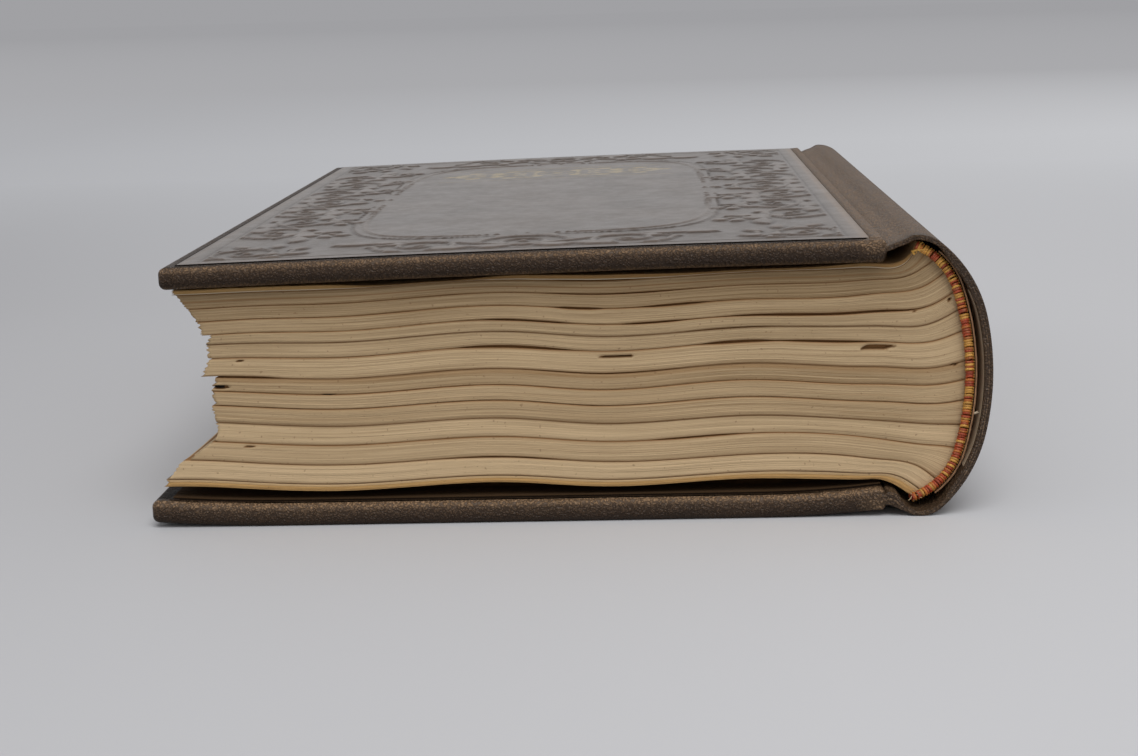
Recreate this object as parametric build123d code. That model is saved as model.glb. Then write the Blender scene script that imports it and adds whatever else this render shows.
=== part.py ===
from build123d import *
import math
import os

# A thick leather-bound book lying on its back cover, sizes in millimetres.
# X runs from the fore-edge to the spine, Y from the head to the tail, Z up from the table.
# The pieces are drawn as sections in the XZ plane, seen from the head, and run along Y.

# Covers
COVER_HEIGHT = 234.0
BACK_COVER_WIDTH = 157.2
FRONT_COVER_WIDTH = 152.4
BOARD_THICKNESS = 3.8
COVER_LEATHER = 0.7
COVER_EDGE_RADIUS = 0.95
COVER_HINGE_RADIUS = 1.5
TURN_IN_LEATHER = 0.4
TURN_IN_WIDTH = 14.0
PASTEDOWN_PAPER = 0.2
PASTEDOWN_MARGIN = 4.0
COVER_BUILD = COVER_LEATHER + BOARD_THICKNESS + TURN_IN_LEATHER

# Warp of the covers: the front one slopes down to the fore-edge and bows up,
# the back one lies flat between two lifted edges
FRONT_DROP = 2.6
FRONT_BOW = 0.4
BACK_FORE_LIFT = 1.2
BACK_FORE_CURL = 30.0
BACK_HINGE_CURL = 26.0

# Spine of the case, drawn on the leather's outer face from the lower crest to the upper one
SPINE_HEIGHT = 60.0
SPINE_ARC_SHARES = ((0.114, 44.0), (0.518, 34.0), (0.983, 24.0), (0.465, 38.0), (0.142, 40.0))
SPINE_LEATHER = 1.1
SPINE_CARD = 0.8
CARD_FOOT_ANGLE = 18.0
CARD_TIP_ANGLE = 24.0
SPINE_TURN_IN = 12.0

# Joints: from each crest the leather falls into a groove whose round is centred on the hinge
FRONT_FLANK_ANGLE = 33.0
FRONT_CREST_RADIUS = 2.9
FRONT_FLANK = 3.6
FRONT_GROOVE_RADIUS = 2.0
FRONT_SETBACK = 0.4
BACK_FLANK_ANGLE = 25.0
BACK_CREST_RADIUS = 4.5
BACK_FLANK = 4.7
BACK_GROOVE_RADIUS = 1.0
BACK_SETBACK = 0.8
HINGE_CLEARANCE = 0.3

# Text block
SQUARE = 3.5
LEAF_GAP = 0.3
LEAF_GAP_DEPTH = 1.3
SHOULDER_CLEARANCE = 0.6
FOOT_CLEARANCE = 1.7
BLOCK_ARC_SHARES = ((0.282, 56.0), (1.079, 34.0), (0.288, 50.0))
BLOCK_FOOT_HEADING = 18.0
HOLLOW = 1.15
FRONT_LEAF_ROOM = 1.6
BACK_FORE_GAP = 3.3
BACK_SPINE_GAP = 2.3
COCKLE = 1.0
KNEE_ROUND = 1.3
FORE_INSET = 2.6
FORE_ROUND = 12.5
LEAF_STAGGER = 0.35

# Endpapers, spine linings, sewing tapes and endbands
FLYLEAF_THICKNESS = 0.7
TAPE_COUNT = 4
TAPE_WIDTH = 11.0
TAPE_THICKNESS = 0.3
MULL_THICKNESS = 0.2
MULL_MARGIN = 16.0
LINING_THICKNESS = 0.25
LINING_MARGIN = 1.2
LINING_END_ANGLE = 18.0
ENDBAND_RADIUS = 0.9
ENDBAND_SEAT = 0.15
ENDBAND_FLANGE = 9.0
ENDBAND_CLOTH = 0.25

# Where the leaves wave: shares of the way from the fore-edge to the shoulder, and the wave's height
# there at four levels of the block, from the foot up
COCKLE_LEVEL_SHARES = (0.1, 0.5, 0.8, 1.0)
COCKLE_SHARES = (
    (0.065, 0.0, 0.0, 0.0, 0.0),
    (0.132, -0.62, -0.41, 0.31, 0.10),
    (0.265, -1.21, -1.07, 0.04, 0.0),
    (0.476, 0.28, 0.65, 1.27, 0.63),
    (0.594, -0.86, -0.64, -0.43, -0.29),
    (0.790, 0.55, 1.31, 0.42, 0.26),
    (0.920, 0.10, 0.15, 0.15, 0.15),
)

# The folds between gatherings from the top down: height at the fore-edge and at the spine,
# seat on the rounded back, length of the swung part that climbs the shoulder, and rise to its knee
FOLD_SHARES = (
    (1.000, 1.000, 0.995, 0.23, 0.0),
    (0.926, 0.940, 0.941, 0.53, 0.55),
    (0.857, 0.870, 0.893, 0.52, 1.0),
    (0.788, 0.791, 0.815, 0.57, 0.65),
    (0.740, 0.730, 0.748, 0.62, -0.2),
    (0.669, 0.657, 0.662, 0.63, -0.5),
    (0.576, 0.541, 0.545, 0.58, -0.7),
    (0.502, 0.457, 0.470, 0.55, -0.6),
    (0.430, 0.378, 0.390, 0.45, -1.0),
    (0.343, 0.292, 0.288, 0.40, -1.5),
    (0.240, 0.212, 0.195, 0.42, -2.4),
    (0.140, 0.114, 0.065, 0.50, -1.5),
    (0.036, 0.032, 0.022, 0.50, -0.4),
    (0.000, 0.000, 0.004, 0.52, 0.0),
)

# How deep each gathering's fore-edge lies in the hollow, at its top and at its bottom
FORE_SHARES = (
    (0.42, 0.58),
    (0.62, 0.74),
    (0.76, 0.80),
    (0.97, 0.89),
    (0.88, 0.91),
    (0.92, 0.76),
    (1.02, 0.90),
    (0.94, 0.95),
    (0.90, 0.96),
    (0.97, 0.84),
    (0.80, 0.42),
    (0.36, 0.02),
)
STAGGER_SHARES = (0.2, 0.9, 0.4, 0.0, 0.7, 0.3, 1.0, 0.5, 0.1, 0.8, 0.3, 0.6)
OVERRUN = 5.0
SEAT_SHARE_STEP = 1e-6


def unit(heading):
    """Direction of a heading in degrees, anticlockwise from +X towards +Z."""
    return Vector(math.cos(math.radians(heading)), math.sin(math.radians(heading)))


def walk(start, heading, steps, inset=0.0):
    """Edges of tangent arcs and runs, moved inset to their left, with the far end and its heading.

    A step is (radius, turn) in millimetres and degrees, left turns above zero; a turn of zero is a run.
    """
    point = Vector(*start)
    edges = []
    for size, turn in steps:
        left = unit(heading + 90)
        if turn == 0:
            far = point + unit(heading) * size
            edges.append(Line(point + left * inset, far + left * inset))
        else:
            side = math.copysign(1, turn)
            centre = point + left * size * side
            first = heading - 90 * side
            far = centre + unit(first + turn) * size
            edges.append(CenterArc(centre, size - side * inset, first, turn))
        point = far
        heading += turn
    return edges, point, heading


def band(start, heading, steps, outer, inner):
    """Face between two parallels of a walk."""
    near = walk(start, heading, steps, outer)[0]
    deep = walk(start, heading, steps, inner)[0]
    caps = [Line(near[0] @ 0, deep[0] @ 0), Line(near[-1] @ 1, deep[-1] @ 1)]
    return Face(Wire(near + caps + deep))


def along(face, low, high):
    """Solid of a section that runs along Y from low to high."""
    place = Plane(origin=(0, high, 0), x_dir=(1, 0, 0), z_dir=(0, -1, 0))
    return extrude(place * face, amount=high - low, dir=(0, -1, 0))


def write(name, solid):
    export_step(CENTRE * solid, os.path.join("parts", name + ".step"))


def spine_steps():
    """The case's spine from the lower crest to the upper one, scaled to its height."""
    height = sum(
        share * (unit(sum(t for _, t in SPINE_ARC_SHARES[:k])).X
                 - unit(sum(t for _, t in SPINE_ARC_SHARES[:k + 1])).X)
        for k, (share, _) in enumerate(SPINE_ARC_SHARES)
    )
    return [(share * SPINE_HEIGHT / height, turn) for share, turn in SPINE_ARC_SHARES]


# Hinge places, found by walking the leather's outer face down from each crest
back_hinge_x = BACK_COVER_WIDTH + BACK_SETBACK
back_joint = [
    (BACK_GROOVE_RADIUS, -BACK_FLANK_ANGLE),
    (BACK_FLANK, 0),
    (BACK_CREST_RADIUS, BACK_FLANK_ANGLE),
]
back_fall = walk((0, 0), 0, back_joint)[1]
back_crest = Vector(back_hinge_x + back_fall.X, 0)
back_hinge = Vector(back_hinge_x, -back_fall.Y - BACK_GROOVE_RADIUS)
front_joint = [
    (FRONT_CREST_RADIUS, FRONT_FLANK_ANGLE),
    (FRONT_FLANK, 0),
    (FRONT_GROOVE_RADIUS, -FRONT_FLANK_ANGLE),
]
front_crest = walk(back_crest, 0, spine_steps())[1]
front_groove = walk(front_crest, 180, front_joint)[1]
front_hinge = Vector(front_groove.X, front_groove.Y + FRONT_GROOVE_RADIUS)

# Ends of the two covers
back_end = back_hinge.X - BACK_SETBACK
front_end = front_hinge.X - FRONT_SETBACK
front_fore = front_end - FRONT_COVER_WIDTH

# The whole book is centred over the origin
spine_reach = max((edge.bounding_box().max.X for edge in walk(back_crest, 0, spine_steps())[0]))
CENTRE = Pos(-spine_reach / 2, -COVER_HEIGHT / 2, 0)


def front_line(depth, near=0.0, far=0.0):
    """The front cover's face at a depth below its outer one, shortened by near and far at its ends."""
    left = Vector(front_fore, front_hinge.Y - depth - FRONT_DROP)
    right = Vector(front_end, front_hinge.Y - depth)
    middle = (left + right) / 2 + Vector(0, FRONT_BOW)
    arc = ThreePointArc(left, middle, right)
    return [arc.trim(near / arc.length, 1 - far / arc.length)]


def back_line(depth, near=0.0, far=0.0):
    """The back cover's face at a depth above its outer one: a flat between two curled edges."""
    fore_flat = Vector(BACK_FORE_CURL, depth)
    hinge_flat = Vector(back_end - BACK_HINGE_CURL, depth)
    fore_curl = TangentArc(fore_flat, Vector(0, depth + BACK_FORE_LIFT), tangent=(-1, 0))
    hinge_curl = TangentArc(hinge_flat, Vector(back_end, depth + back_hinge.Y), tangent=(1, 0))
    return [
        fore_curl.trim(0, 1 - near / fore_curl.length),
        Line(fore_flat, hinge_flat),
        hinge_curl.trim(0, 1 - far / hinge_curl.length),
    ]


def slab(line, outer, inner, near=0.0, far=0.0):
    """Section of a cover's layer between two depths, shortened at the fore-edge and at the hinge."""
    first, second = line(outer, near, far), line(inner, near, far)
    fore = 1 if len(first) > 1 else 0
    ends = [Line(first[0] @ fore, second[0] @ fore), Line(first[-1] @ 1, second[-1] @ 1)]
    return Face(Wire(first + second + ends))


def cover(line, outer_up):
    """Board, leather and pastedown of one cover, from the line of its faces."""
    wrap = COVER_LEATHER
    inner_board = COVER_LEATHER + BOARD_THICKNESS
    board = along(slab(line, wrap, inner_board, wrap, wrap), wrap, COVER_HEIGHT - wrap)

    skin = along(slab(line, 0, COVER_BUILD), 0, COVER_HEIGHT)
    long_edges = skin.edges().filter_by(Axis.Y)
    hinge_edges = long_edges.sort_by(Axis.X)[-2:].sort_by(Axis.Z)
    hinge_top = hinge_edges[-1] if outer_up else hinge_edges[0]
    skin = fillet(hinge_top, COVER_HINGE_RADIUS)
    long_edges = skin.edges().filter_by(Axis.Y)
    skin = fillet(long_edges.sort_by(Axis.X)[:2], COVER_EDGE_RADIUS)
    ends = skin.faces().filter_by(Axis.Y)
    skin = fillet(ends.edges(), COVER_EDGE_RADIUS)
    window = along(
        slab(line, inner_board - wrap / 2, COVER_BUILD + OVERRUN, TURN_IN_WIDTH, wrap),
        TURN_IN_WIDTH,
        COVER_HEIGHT - TURN_IN_WIDTH,
    )
    leather = skin - board - window

    infill = along(
        slab(line, inner_board, COVER_BUILD, TURN_IN_WIDTH, wrap),
        TURN_IN_WIDTH,
        COVER_HEIGHT - TURN_IN_WIDTH,
    )
    sheet = along(
        slab(line, COVER_BUILD, COVER_BUILD + PASTEDOWN_PAPER, PASTEDOWN_MARGIN, wrap),
        PASTEDOWN_MARGIN,
        COVER_HEIGHT - PASTEDOWN_MARGIN,
    )
    return board, leather, infill + sheet


# Rounded back of the text block
foot_z = SPINE_LEATHER + FOOT_CLEARANCE
tip_z = SPINE_HEIGHT - SPINE_LEATHER - SHOULDER_CLEARANCE


def block_steps():
    """The block's rounded back from foot to tip, scaled to its height."""
    heading = BLOCK_FOOT_HEADING
    height = 0
    for share, turn in BLOCK_ARC_SHARES:
        height += share * (unit(heading).X - unit(heading + turn).X)
        heading += turn
    return [(share * (tip_z - foot_z) / height, turn) for share, turn in BLOCK_ARC_SHARES]


back_edges = walk((0, foot_z), BLOCK_FOOT_HEADING, block_steps())[0]
back_reach = max(edge.bounding_box().max.X for edge in back_edges)
lining_build = TAPE_THICKNESS + MULL_THICKNESS + LINING_THICKNESS
block_apex = spine_reach - SPINE_LEATHER - SPINE_CARD - HOLLOW - lining_build
block_foot = Vector(block_apex - back_reach, foot_z)
block_back = Wire(walk(block_foot, BLOCK_FOOT_HEADING, block_steps())[0])


def block_band(outer, inner):
    """Section of a layer on the block's rounded back, ending short of its foot and tip."""
    first, *middle, last = block_steps()
    _, start, heading = walk(block_foot, BLOCK_FOOT_HEADING, [(first[0], LINING_END_ANGLE)])
    steps = [(first[0], first[1] - LINING_END_ANGLE), *middle, (last[0], last[1] - LINING_END_ANGLE)]
    return band(start, heading, steps, -outer, -inner)


def seat_on_back(share):
    """Point of the rounded back at a share of its height."""
    height = foot_z + share * (tip_z - foot_z)
    low, high = 0.0, 1.0
    while high - low > SEAT_SHARE_STEP:
        middle = (low + high) / 2
        low, high = (middle, high) if (block_back @ middle).Y < height else (low, middle)
    return block_back @ low


def wave_share(shares, level):
    """Height share of one wave at a level of the block, read between the four given levels."""
    marks = COCKLE_LEVEL_SHARES
    level = min(max(level, marks[0]), marks[-1])
    number = max(k for k, mark in enumerate(marks[:-1]) if mark <= level)
    way = (level - marks[number]) / (marks[number + 1] - marks[number])
    return shares[number] + way * (shares[number + 1] - shares[number])


def leaf_height(share, fore_level, spine_level):
    """Height of a fold where it crosses a share of the leaf's width, before it waves."""
    first, last = COCKLE_SHARES[0][0], COCKLE_SHARES[-1][0]
    way = min(1.0, (share - first) / (last - first))
    fall = FRONT_DROP * (front_end - share * block_foot.X) / FRONT_COVER_WIDTH
    top = front_hinge.Y - fall - COVER_BUILD - FRONT_LEAF_ROOM
    bottom = COVER_BUILD + BACK_FORE_GAP + way * (BACK_SPINE_GAP - BACK_FORE_GAP)
    level = fore_level + way * (spine_level - fore_level)
    return bottom + level * (top - bottom), level


def fold_line(row, shift=0.0):
    """Spline of the fold between two gatherings, from past the fore-edge to past the rounded back."""
    fore_level, spine_level, seat_share, swung_share, rise_share = row
    points = []
    for place_share, *wave_shares in COCKLE_SHARES:
        height, level = leaf_height(place_share, fore_level, spine_level)
        height += COCKLE * wave_share(wave_shares, level)
        points.append(Vector(place_share * block_foot.X, height + shift))
    seat = seat_on_back(seat_share) + Vector(0, shift)
    knee = Vector(seat.X - swung_share * FORE_ROUND, points[-1].Y + rise_share * COCKLE)
    swing = (seat - knee).normalized()
    bend = knee - Vector(KNEE_ROUND, 0)
    points.append((points[-1] + bend) / 2)
    points.append(bend)
    points.append(knee + swing * KNEE_ROUND)
    points.append(seat)
    points.append(seat + swing * KNEE_ROUND)
    points.insert(0, Vector(-OVERRUN, points[0].Y))
    return Spline(points)


def fore_x(share):
    return FORE_INSET + share * FORE_ROUND


def gathering(upper, lower, fore):
    """Section of one gathering between two folds, cut to the rounded back and its fore-edge."""
    top = fold_line(upper, -LEAF_GAP / 2)
    bottom = fold_line(lower, LEAF_GAP / 2)
    loop = Face(Wire([top, bottom, Line(top @ 0, bottom @ 0), Line(top @ 1, bottom @ 1)]))
    return loop & back_limit(fore, (top @ 0).Y, (bottom @ 0).Y)


def back_limit(fore, high, low, beyond=0.0):
    """Everything between a slanted fore-edge and the rounded back."""
    top_x, bottom_x = fore_x(fore[0]), fore_x(fore[1])
    slope = (bottom_x - top_x) / (high - low)
    above = Vector(top_x - slope * OVERRUN, high + OVERRUN)
    below = Vector(bottom_x + slope * OVERRUN, low - OVERRUN)
    edges = walk(block_foot, BLOCK_FOOT_HEADING, block_steps(), -beyond)[0]
    foot, tip = edges[0] @ 0, edges[-1] @ 1
    return Face(Wire([
        *edges,
        Line(tip, Vector(tip.X, tip.Y + OVERRUN)),
        Line(Vector(tip.X, tip.Y + OVERRUN), above),
        Line(above, below),
        Line(below, Vector(foot.X, foot.Y - OVERRUN)),
        Line(Vector(foot.X, foot.Y - OVERRUN), foot),
    ]))


def text_block():
    """The sewn leaves: gatherings that show at head, tail and fore-edge, in one solid."""
    head, tail = SQUARE, COVER_HEIGHT - SQUARE
    deepest = fore_x(max(max(pair) for pair in FORE_SHARES)) + LEAF_GAP_DEPTH
    top = fold_line(FOLD_SHARES[0], -LEAF_GAP)
    bottom = fold_line(FOLD_SHARES[-2], LEAF_GAP)
    past_top = Vector(spine_reach, (top @ 1).Y)
    past_bottom = Vector(spine_reach, (bottom @ 1).Y)
    loop = Face(Wire([
        top,
        bottom,
        Line(top @ 0, bottom @ 0),
        Line(top @ 1, past_top),
        Line(past_top, past_bottom),
        Line(past_bottom, bottom @ 1),
    ]))
    inset = (deepest - FORE_INSET) / FORE_ROUND
    core = loop & back_limit((inset, inset), tip_z, foot_z, -LEAF_GAP)
    block = along(core, head + LEAF_GAP_DEPTH, tail - LEAF_GAP_DEPTH)
    for number, fore in enumerate(FORE_SHARES):
        section = gathering(FOLD_SHARES[number], FOLD_SHARES[number + 1], fore)
        stagger = STAGGER_SHARES[number] * LEAF_STAGGER
        block += along(section, head + stagger, tail - LEAF_STAGGER + stagger)
    return block


def card_band(outer, inner):
    """Section of a layer behind the spine's leather, over the stretch that the card stiffens."""
    crest, first, *middle, last, _ = spine_steps()
    _, start, heading = walk(back_crest, 0, [crest, (first[0], CARD_FOOT_ANGLE)])
    steps = [(first[0], first[1] - CARD_FOOT_ANGLE), *middle, (last[0], last[1] - CARD_TIP_ANGLE)]
    return band(start, heading, steps, outer, inner)


def spine_leather():
    """Leather over the back with both joints, turned in over the card at head and tail."""
    steps = [
        (back_hinge.X - back_end - HINGE_CLEARANCE, 0),
        *back_joint,
        *spine_steps(),
        *front_joint,
        (front_hinge.X - front_end - HINGE_CLEARANCE, 0),
    ]
    start = Vector(back_end + HINGE_CLEARANCE, back_hinge.Y + BACK_GROOVE_RADIUS)
    leather = along(band(start, 0, steps, 0, SPINE_LEATHER), 0, COVER_HEIGHT)
    card_face = SPINE_LEATHER + SPINE_CARD
    inside = card_face + TURN_IN_LEATHER
    fold = card_band(SPINE_LEATHER / 2, inside)
    flap = card_band(card_face, inside)
    leather += along(fold, 0, SPINE_LEATHER) + along(flap, SPINE_LEATHER / 2, SPINE_TURN_IN)
    far = COVER_HEIGHT - SPINE_LEATHER
    leather += along(fold, far, COVER_HEIGHT)
    leather += along(flap, COVER_HEIGHT - SPINE_TURN_IN, far + SPINE_LEATHER / 2)
    return leather


def endband(edge, outward):
    """A corded endband on one end of the block: a round bead with its cloth glued to the back."""
    arcs = walk(block_foot, BLOCK_FOOT_HEADING, block_steps(), ENDBAND_RADIUS - ENDBAND_SEAT)[0]
    place = Plane(origin=(0, edge + outward * ENDBAND_RADIUS, 0), x_dir=(1, 0, 0), z_dir=(0, -1, 0))
    ends = sorted((edge + outward * ENDBAND_RADIUS / 2, edge - outward * ENDBAND_FLANGE))
    piece = along(block_band(0, ENDBAND_CLOTH), *ends)
    for arc in arcs:
        path = place * arc
        piece += sweep(Plane(path @ 0, z_dir=path % 0) * Circle(ENDBAND_RADIUS), path=path)
    return piece


def flyleaf_front():
    """Front flyleaves, from the top gathering up to just under the pastedown."""
    bottom = fold_line(FOLD_SHARES[0], LEAF_GAP / 2)
    top = fold_line(FOLD_SHARES[0], LEAF_GAP / 2 + FLYLEAF_THICKNESS)
    loop = Face(Wire([top, bottom, Line(top @ 0, bottom @ 0), Line(top @ 1, bottom @ 1)]))
    limit = back_limit((FORE_SHARES[0][0], FORE_SHARES[0][0]), (top @ 0).Y, (bottom @ 0).Y)
    return along(loop & limit, SQUARE, COVER_HEIGHT - SQUARE)


def flyleaf_back():
    """Back flyleaves, under the last gathering."""
    section = gathering(FOLD_SHARES[-2], FOLD_SHARES[-1], (FORE_SHARES[-1][1], 0))
    return along(section, SQUARE, COVER_HEIGHT - SQUARE)


os.makedirs("parts", exist_ok=True)

front = cover(front_line, True)
write("front_board", front[0])
write("front_leather", front[1])
write("front_pastedown", front[2])
back = cover(back_line, False)
write("back_board", back[0])
write("back_leather", back[1])
write("back_pastedown", back[2])
write("text_block", text_block())
write("front_flyleaf", flyleaf_front())
write("back_flyleaf", flyleaf_back())
write("spine_leather", spine_leather())
write("spine_card", along(
    card_band(SPINE_LEATHER, SPINE_LEATHER + SPINE_CARD),
    SPINE_LEATHER,
    COVER_HEIGHT - SPINE_LEATHER,
))
tape_pitch = (COVER_HEIGHT - 2 * MULL_MARGIN) / (TAPE_COUNT + 1)
for number in range(TAPE_COUNT):
    middle = MULL_MARGIN + tape_pitch * (number + 1)
    tape = block_band(0, TAPE_THICKNESS)
    write(f"sewing_tape_{number + 1}", along(tape, middle - TAPE_WIDTH / 2, middle + TAPE_WIDTH / 2))
mull_face = TAPE_THICKNESS + MULL_THICKNESS
write("mull", along(
    block_band(TAPE_THICKNESS, mull_face),
    MULL_MARGIN,
    COVER_HEIGHT - MULL_MARGIN,
))
write("spine_lining", along(
    block_band(mull_face, mull_face + LINING_THICKNESS),
    SQUARE - LINING_MARGIN,
    COVER_HEIGHT - SQUARE + LINING_MARGIN,
))
write("headband", endband(SQUARE, -1))
write("tailband", endband(COVER_HEIGHT - SQUARE, 1))

print(f"front hinge at X {front_hinge.X - spine_reach / 2:.3f}, Z {front_hinge.Y:.3f}")
print(f"back hinge at X {back_hinge.X - spine_reach / 2:.3f}, Z {back_hinge.Y:.3f}")
print(f"spine reach {spine_reach:.2f}, block apex {block_apex:.2f}, back crest {back_crest.X:.2f}")
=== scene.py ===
"""The antique leather book's looks: leather case, sewn leaves, silk endbands, floor, light and camera.

Sizes are millimetres in the drawing's frame: X from the fore-edge, Y from the head, Z up from the table.
"""
import math
from collections import namedtuple

import bmesh
import bpy
import numpy as np
from mathutils import Matrix, Vector


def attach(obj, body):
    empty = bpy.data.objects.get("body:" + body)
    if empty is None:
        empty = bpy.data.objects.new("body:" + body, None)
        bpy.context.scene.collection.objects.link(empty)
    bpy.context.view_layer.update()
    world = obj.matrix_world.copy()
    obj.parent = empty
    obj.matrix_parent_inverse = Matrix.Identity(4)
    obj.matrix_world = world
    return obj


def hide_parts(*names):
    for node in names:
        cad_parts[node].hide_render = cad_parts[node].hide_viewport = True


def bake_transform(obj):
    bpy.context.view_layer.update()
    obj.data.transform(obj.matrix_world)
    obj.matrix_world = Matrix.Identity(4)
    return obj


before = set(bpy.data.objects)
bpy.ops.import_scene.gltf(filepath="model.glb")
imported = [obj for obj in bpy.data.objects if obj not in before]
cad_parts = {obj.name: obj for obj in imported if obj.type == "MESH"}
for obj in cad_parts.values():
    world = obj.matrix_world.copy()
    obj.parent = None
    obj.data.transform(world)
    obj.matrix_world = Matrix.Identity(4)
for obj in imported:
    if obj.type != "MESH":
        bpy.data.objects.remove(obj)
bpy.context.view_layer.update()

MM = 0.001

# Case, as in the CAD model, but with rounder board edges
COVER_HEIGHT = 234.0
BACK_COVER_WIDTH = 157.2
FRONT_COVER_WIDTH = 152.4
COVER_BUILD = 4.9
COVER_EDGE_RADIUS = 1.45
COVER_HINGE_RADIUS = 1.5
FRONT_DROP = 2.6
FRONT_BOW = 0.4
BACK_FORE_LIFT = 1.2
BACK_FORE_CURL = 30.0
BACK_HINGE_CURL = 26.0
SPINE_HEIGHT = 60.0
# Tangent arcs and runs, as (radius or length, turn), the spine's with radii as shares of its height
SPINE_ARC_SHARES = ((0.114, 44.0), (0.518, 34.0), (0.983, 24.0), (0.465, 38.0), (0.142, 40.0))
FRONT_JOINT = ((2.0, 33.0), (3.6, 0.0), (2.9, -33.0))
BACK_JOINT = ((1.0, 25.0), (4.7, 0.0), (4.5, -25.0))
SPINE_LEATHER = 1.1
SPINE_CARD = 0.8
FRONT_SETBACK = 0.4
BACK_SETBACK = 0.8

# Text block, as in the CAD model, but with thicker flyleaves and lining and two fore-edges further back
SQUARE = 3.5
SHOULDER_CLEARANCE = 0.6
FOOT_CLEARANCE = 1.7
BLOCK_ARC_SHARES = ((0.282, 56.0), (1.079, 34.0), (0.288, 50.0))
BLOCK_FOOT_HEADING = 18.0
HOLLOW = 1.15
FRONT_LEAF_ROOM = 1.6
BACK_FORE_GAP = 3.3
BACK_SPINE_GAP = 2.3
KNEE_ROUND = 1.3
FORE_INSET = 2.6
FORE_ROUND = 12.5
LEAF_STAGGER = 0.35
FLYLEAF_THICKNESS = 1.05
LINING_FACE = 0.5
LINING_THICKNESS = 0.3
LINING_MARGIN = 1.2
# Thickness of the CAD model's own lining, which sets the text block's place
CAD_LINING_THICKNESS = 0.25
LINING_END_ANGLE = 18.0
ENDBAND_RADIUS = 0.9
ENDBAND_SEAT = 0.15
# Waves of the leaves: share of their width, then the height of the wave at each of these levels
COCKLE_LEVEL_SHARES = (0.1, 0.5, 0.8, 1.0)
COCKLE_SHARES = (
    (0.065, 0.0, 0.0, 0.0, 0.0),
    (0.132, -0.62, -0.41, 0.31, 0.10),
    (0.265, -1.21, -1.07, 0.04, 0.0),
    (0.476, 0.28, 0.65, 1.27, 0.63),
    (0.594, -0.86, -0.64, -0.43, -0.29),
    (0.790, 0.55, 1.31, 0.42, 0.26),
    (0.920, 0.10, 0.15, 0.15, 0.15),
)
# Folds between gatherings: level at fore-edge and spine, seat on the back, swing and rise of the knee
FOLD_SHARES = (
    (1.000, 1.000, 0.995, 0.23, 0.0),
    (0.926, 0.940, 0.941, 0.53, 0.55),
    (0.857, 0.870, 0.893, 0.52, 1.0),
    (0.788, 0.791, 0.815, 0.57, 0.65),
    (0.740, 0.730, 0.748, 0.62, -0.2),
    (0.669, 0.657, 0.662, 0.63, -0.5),
    (0.576, 0.541, 0.545, 0.58, -0.7),
    (0.502, 0.457, 0.470, 0.55, -0.6),
    (0.430, 0.378, 0.390, 0.45, -1.0),
    (0.343, 0.292, 0.288, 0.40, -1.5),
    (0.240, 0.212, 0.195, 0.42, -2.4),
    (0.140, 0.114, 0.065, 0.50, -1.5),
    (0.036, 0.032, 0.022, 0.50, -0.4),
    (0.000, 0.000, 0.004, 0.52, 0.0),
)
# Gatherings from the top one down: where the upper and the lower leaf end within the fore-edge's rounding,
# how much of the stagger it stands back at the head, how light its edge is (its own tone, with painted
# shade on the top ones under the front board and painted light on the lowest ones) and how much redder
GATHERINGS = (
    (0.42, 0.58, 0.2, -0.5, 0.0),
    (0.62, 0.74, 0.9, -0.35, 0.0),
    (0.76, 0.80, 0.4, -0.1, 0.0),
    (0.97, 0.89, 0.0, -0.02, 0.0),
    (0.88, 0.91, 0.7, 0.08, 0.0),
    (0.92, 0.76, 0.3, 0.2, 0.0),
    (1.02, 0.90, 1.0, -0.14, 0.08),
    (0.94, 0.95, 0.5, 0.12, 0.08),
    (0.90, 0.96, 0.1, 0.05, 0.10),
    (0.97, 0.92, 0.8, 0.5, 0.03),
    (0.88, 0.44, 0.3, 0.35, 0.08),
    (0.36, 0.02, 0.6, 0.95, 0.08),
)
OVERRUN = 5.0
# How much further back the fore-edge lies between head and tail than at its ends
FORE_HOLLOW = 1.7

# Pastedown in metres: half its length, and its fore end's distance from the row frame's middle
PASTEDOWN_HALF_Y = 0.113
PASTEDOWN_FORE = 0.0855

# Looks of the leaves' edges
LEAVES_IN_GATHERING = 26
ROW_SHARES = (0.0, 0.03, 0.08, 0.16, 0.25, 0.34, 0.43, 0.52, 0.61, 0.70, 0.79, 0.87, 0.93, 0.97, 1.0)
RETURN_DEPTH = 1.6
# How far single leaves stand out at the fore-edge, and at head and tail
FORE_JITTER = 0.45
END_JITTER = 0.07
# How far, and in what lengths, the edges at head and tail wave in and out, and those at the fore-edge
END_SWING = 0.05
END_WAVES = (70, 31, 12)
FORE_SWING = 0.09
FORE_WAVES = (90, 37, 14)
# How far a gathering's edge draws in at its folds, and over what share of its thickness
FOLD_ROUND = 0.26
FOLD_SHARE = 0.055
HEAD_COLUMNS = 230
FORE_COLUMNS = 64
TAIL_COLUMNS = 110
FACE_ROWS = 40
FACE_COLUMNS = 90
CURVE_SAMPLES = 420
# Steps along the rounded back, and the nominal length of a leaf's edge at head and tail
BACK_PITCH = 0.2
EDGE_LENGTH = 170.0
# Darker or redder bands along a gathering: its number, look, share of its thickness, half width, amount
BANDS = ((0, "dark", 0.52, 0.05, 0.75), (6, "stain", 0.17, 0.13, 0.45))
# Slits, holes and torn spots in the head face: middle X and Z, half length, half height, depth
TEARS = (
    (20.4, 35.7, 0.8, 0.2, 0.8),
    (15.9, 30.1, 1.6, 0.4, 1.2),
    (39.1, 28.0, 1.3, 0.13, 0.5),
    (21.7, 17.0, 1.2, 0.14, 0.4),
    (101.6, 35.0, 4.2, 0.16, 1.2),
    (155.6, 35.9, 3.5, 0.34, 1.5),
    (163.5, 43.4, 0.5, 0.18, 0.5),
    (170.7, 45.7, 0.35, 0.3, 0.8),
    (171.7, 31.9, 0.8, 0.2, 0.5),
)
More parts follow.
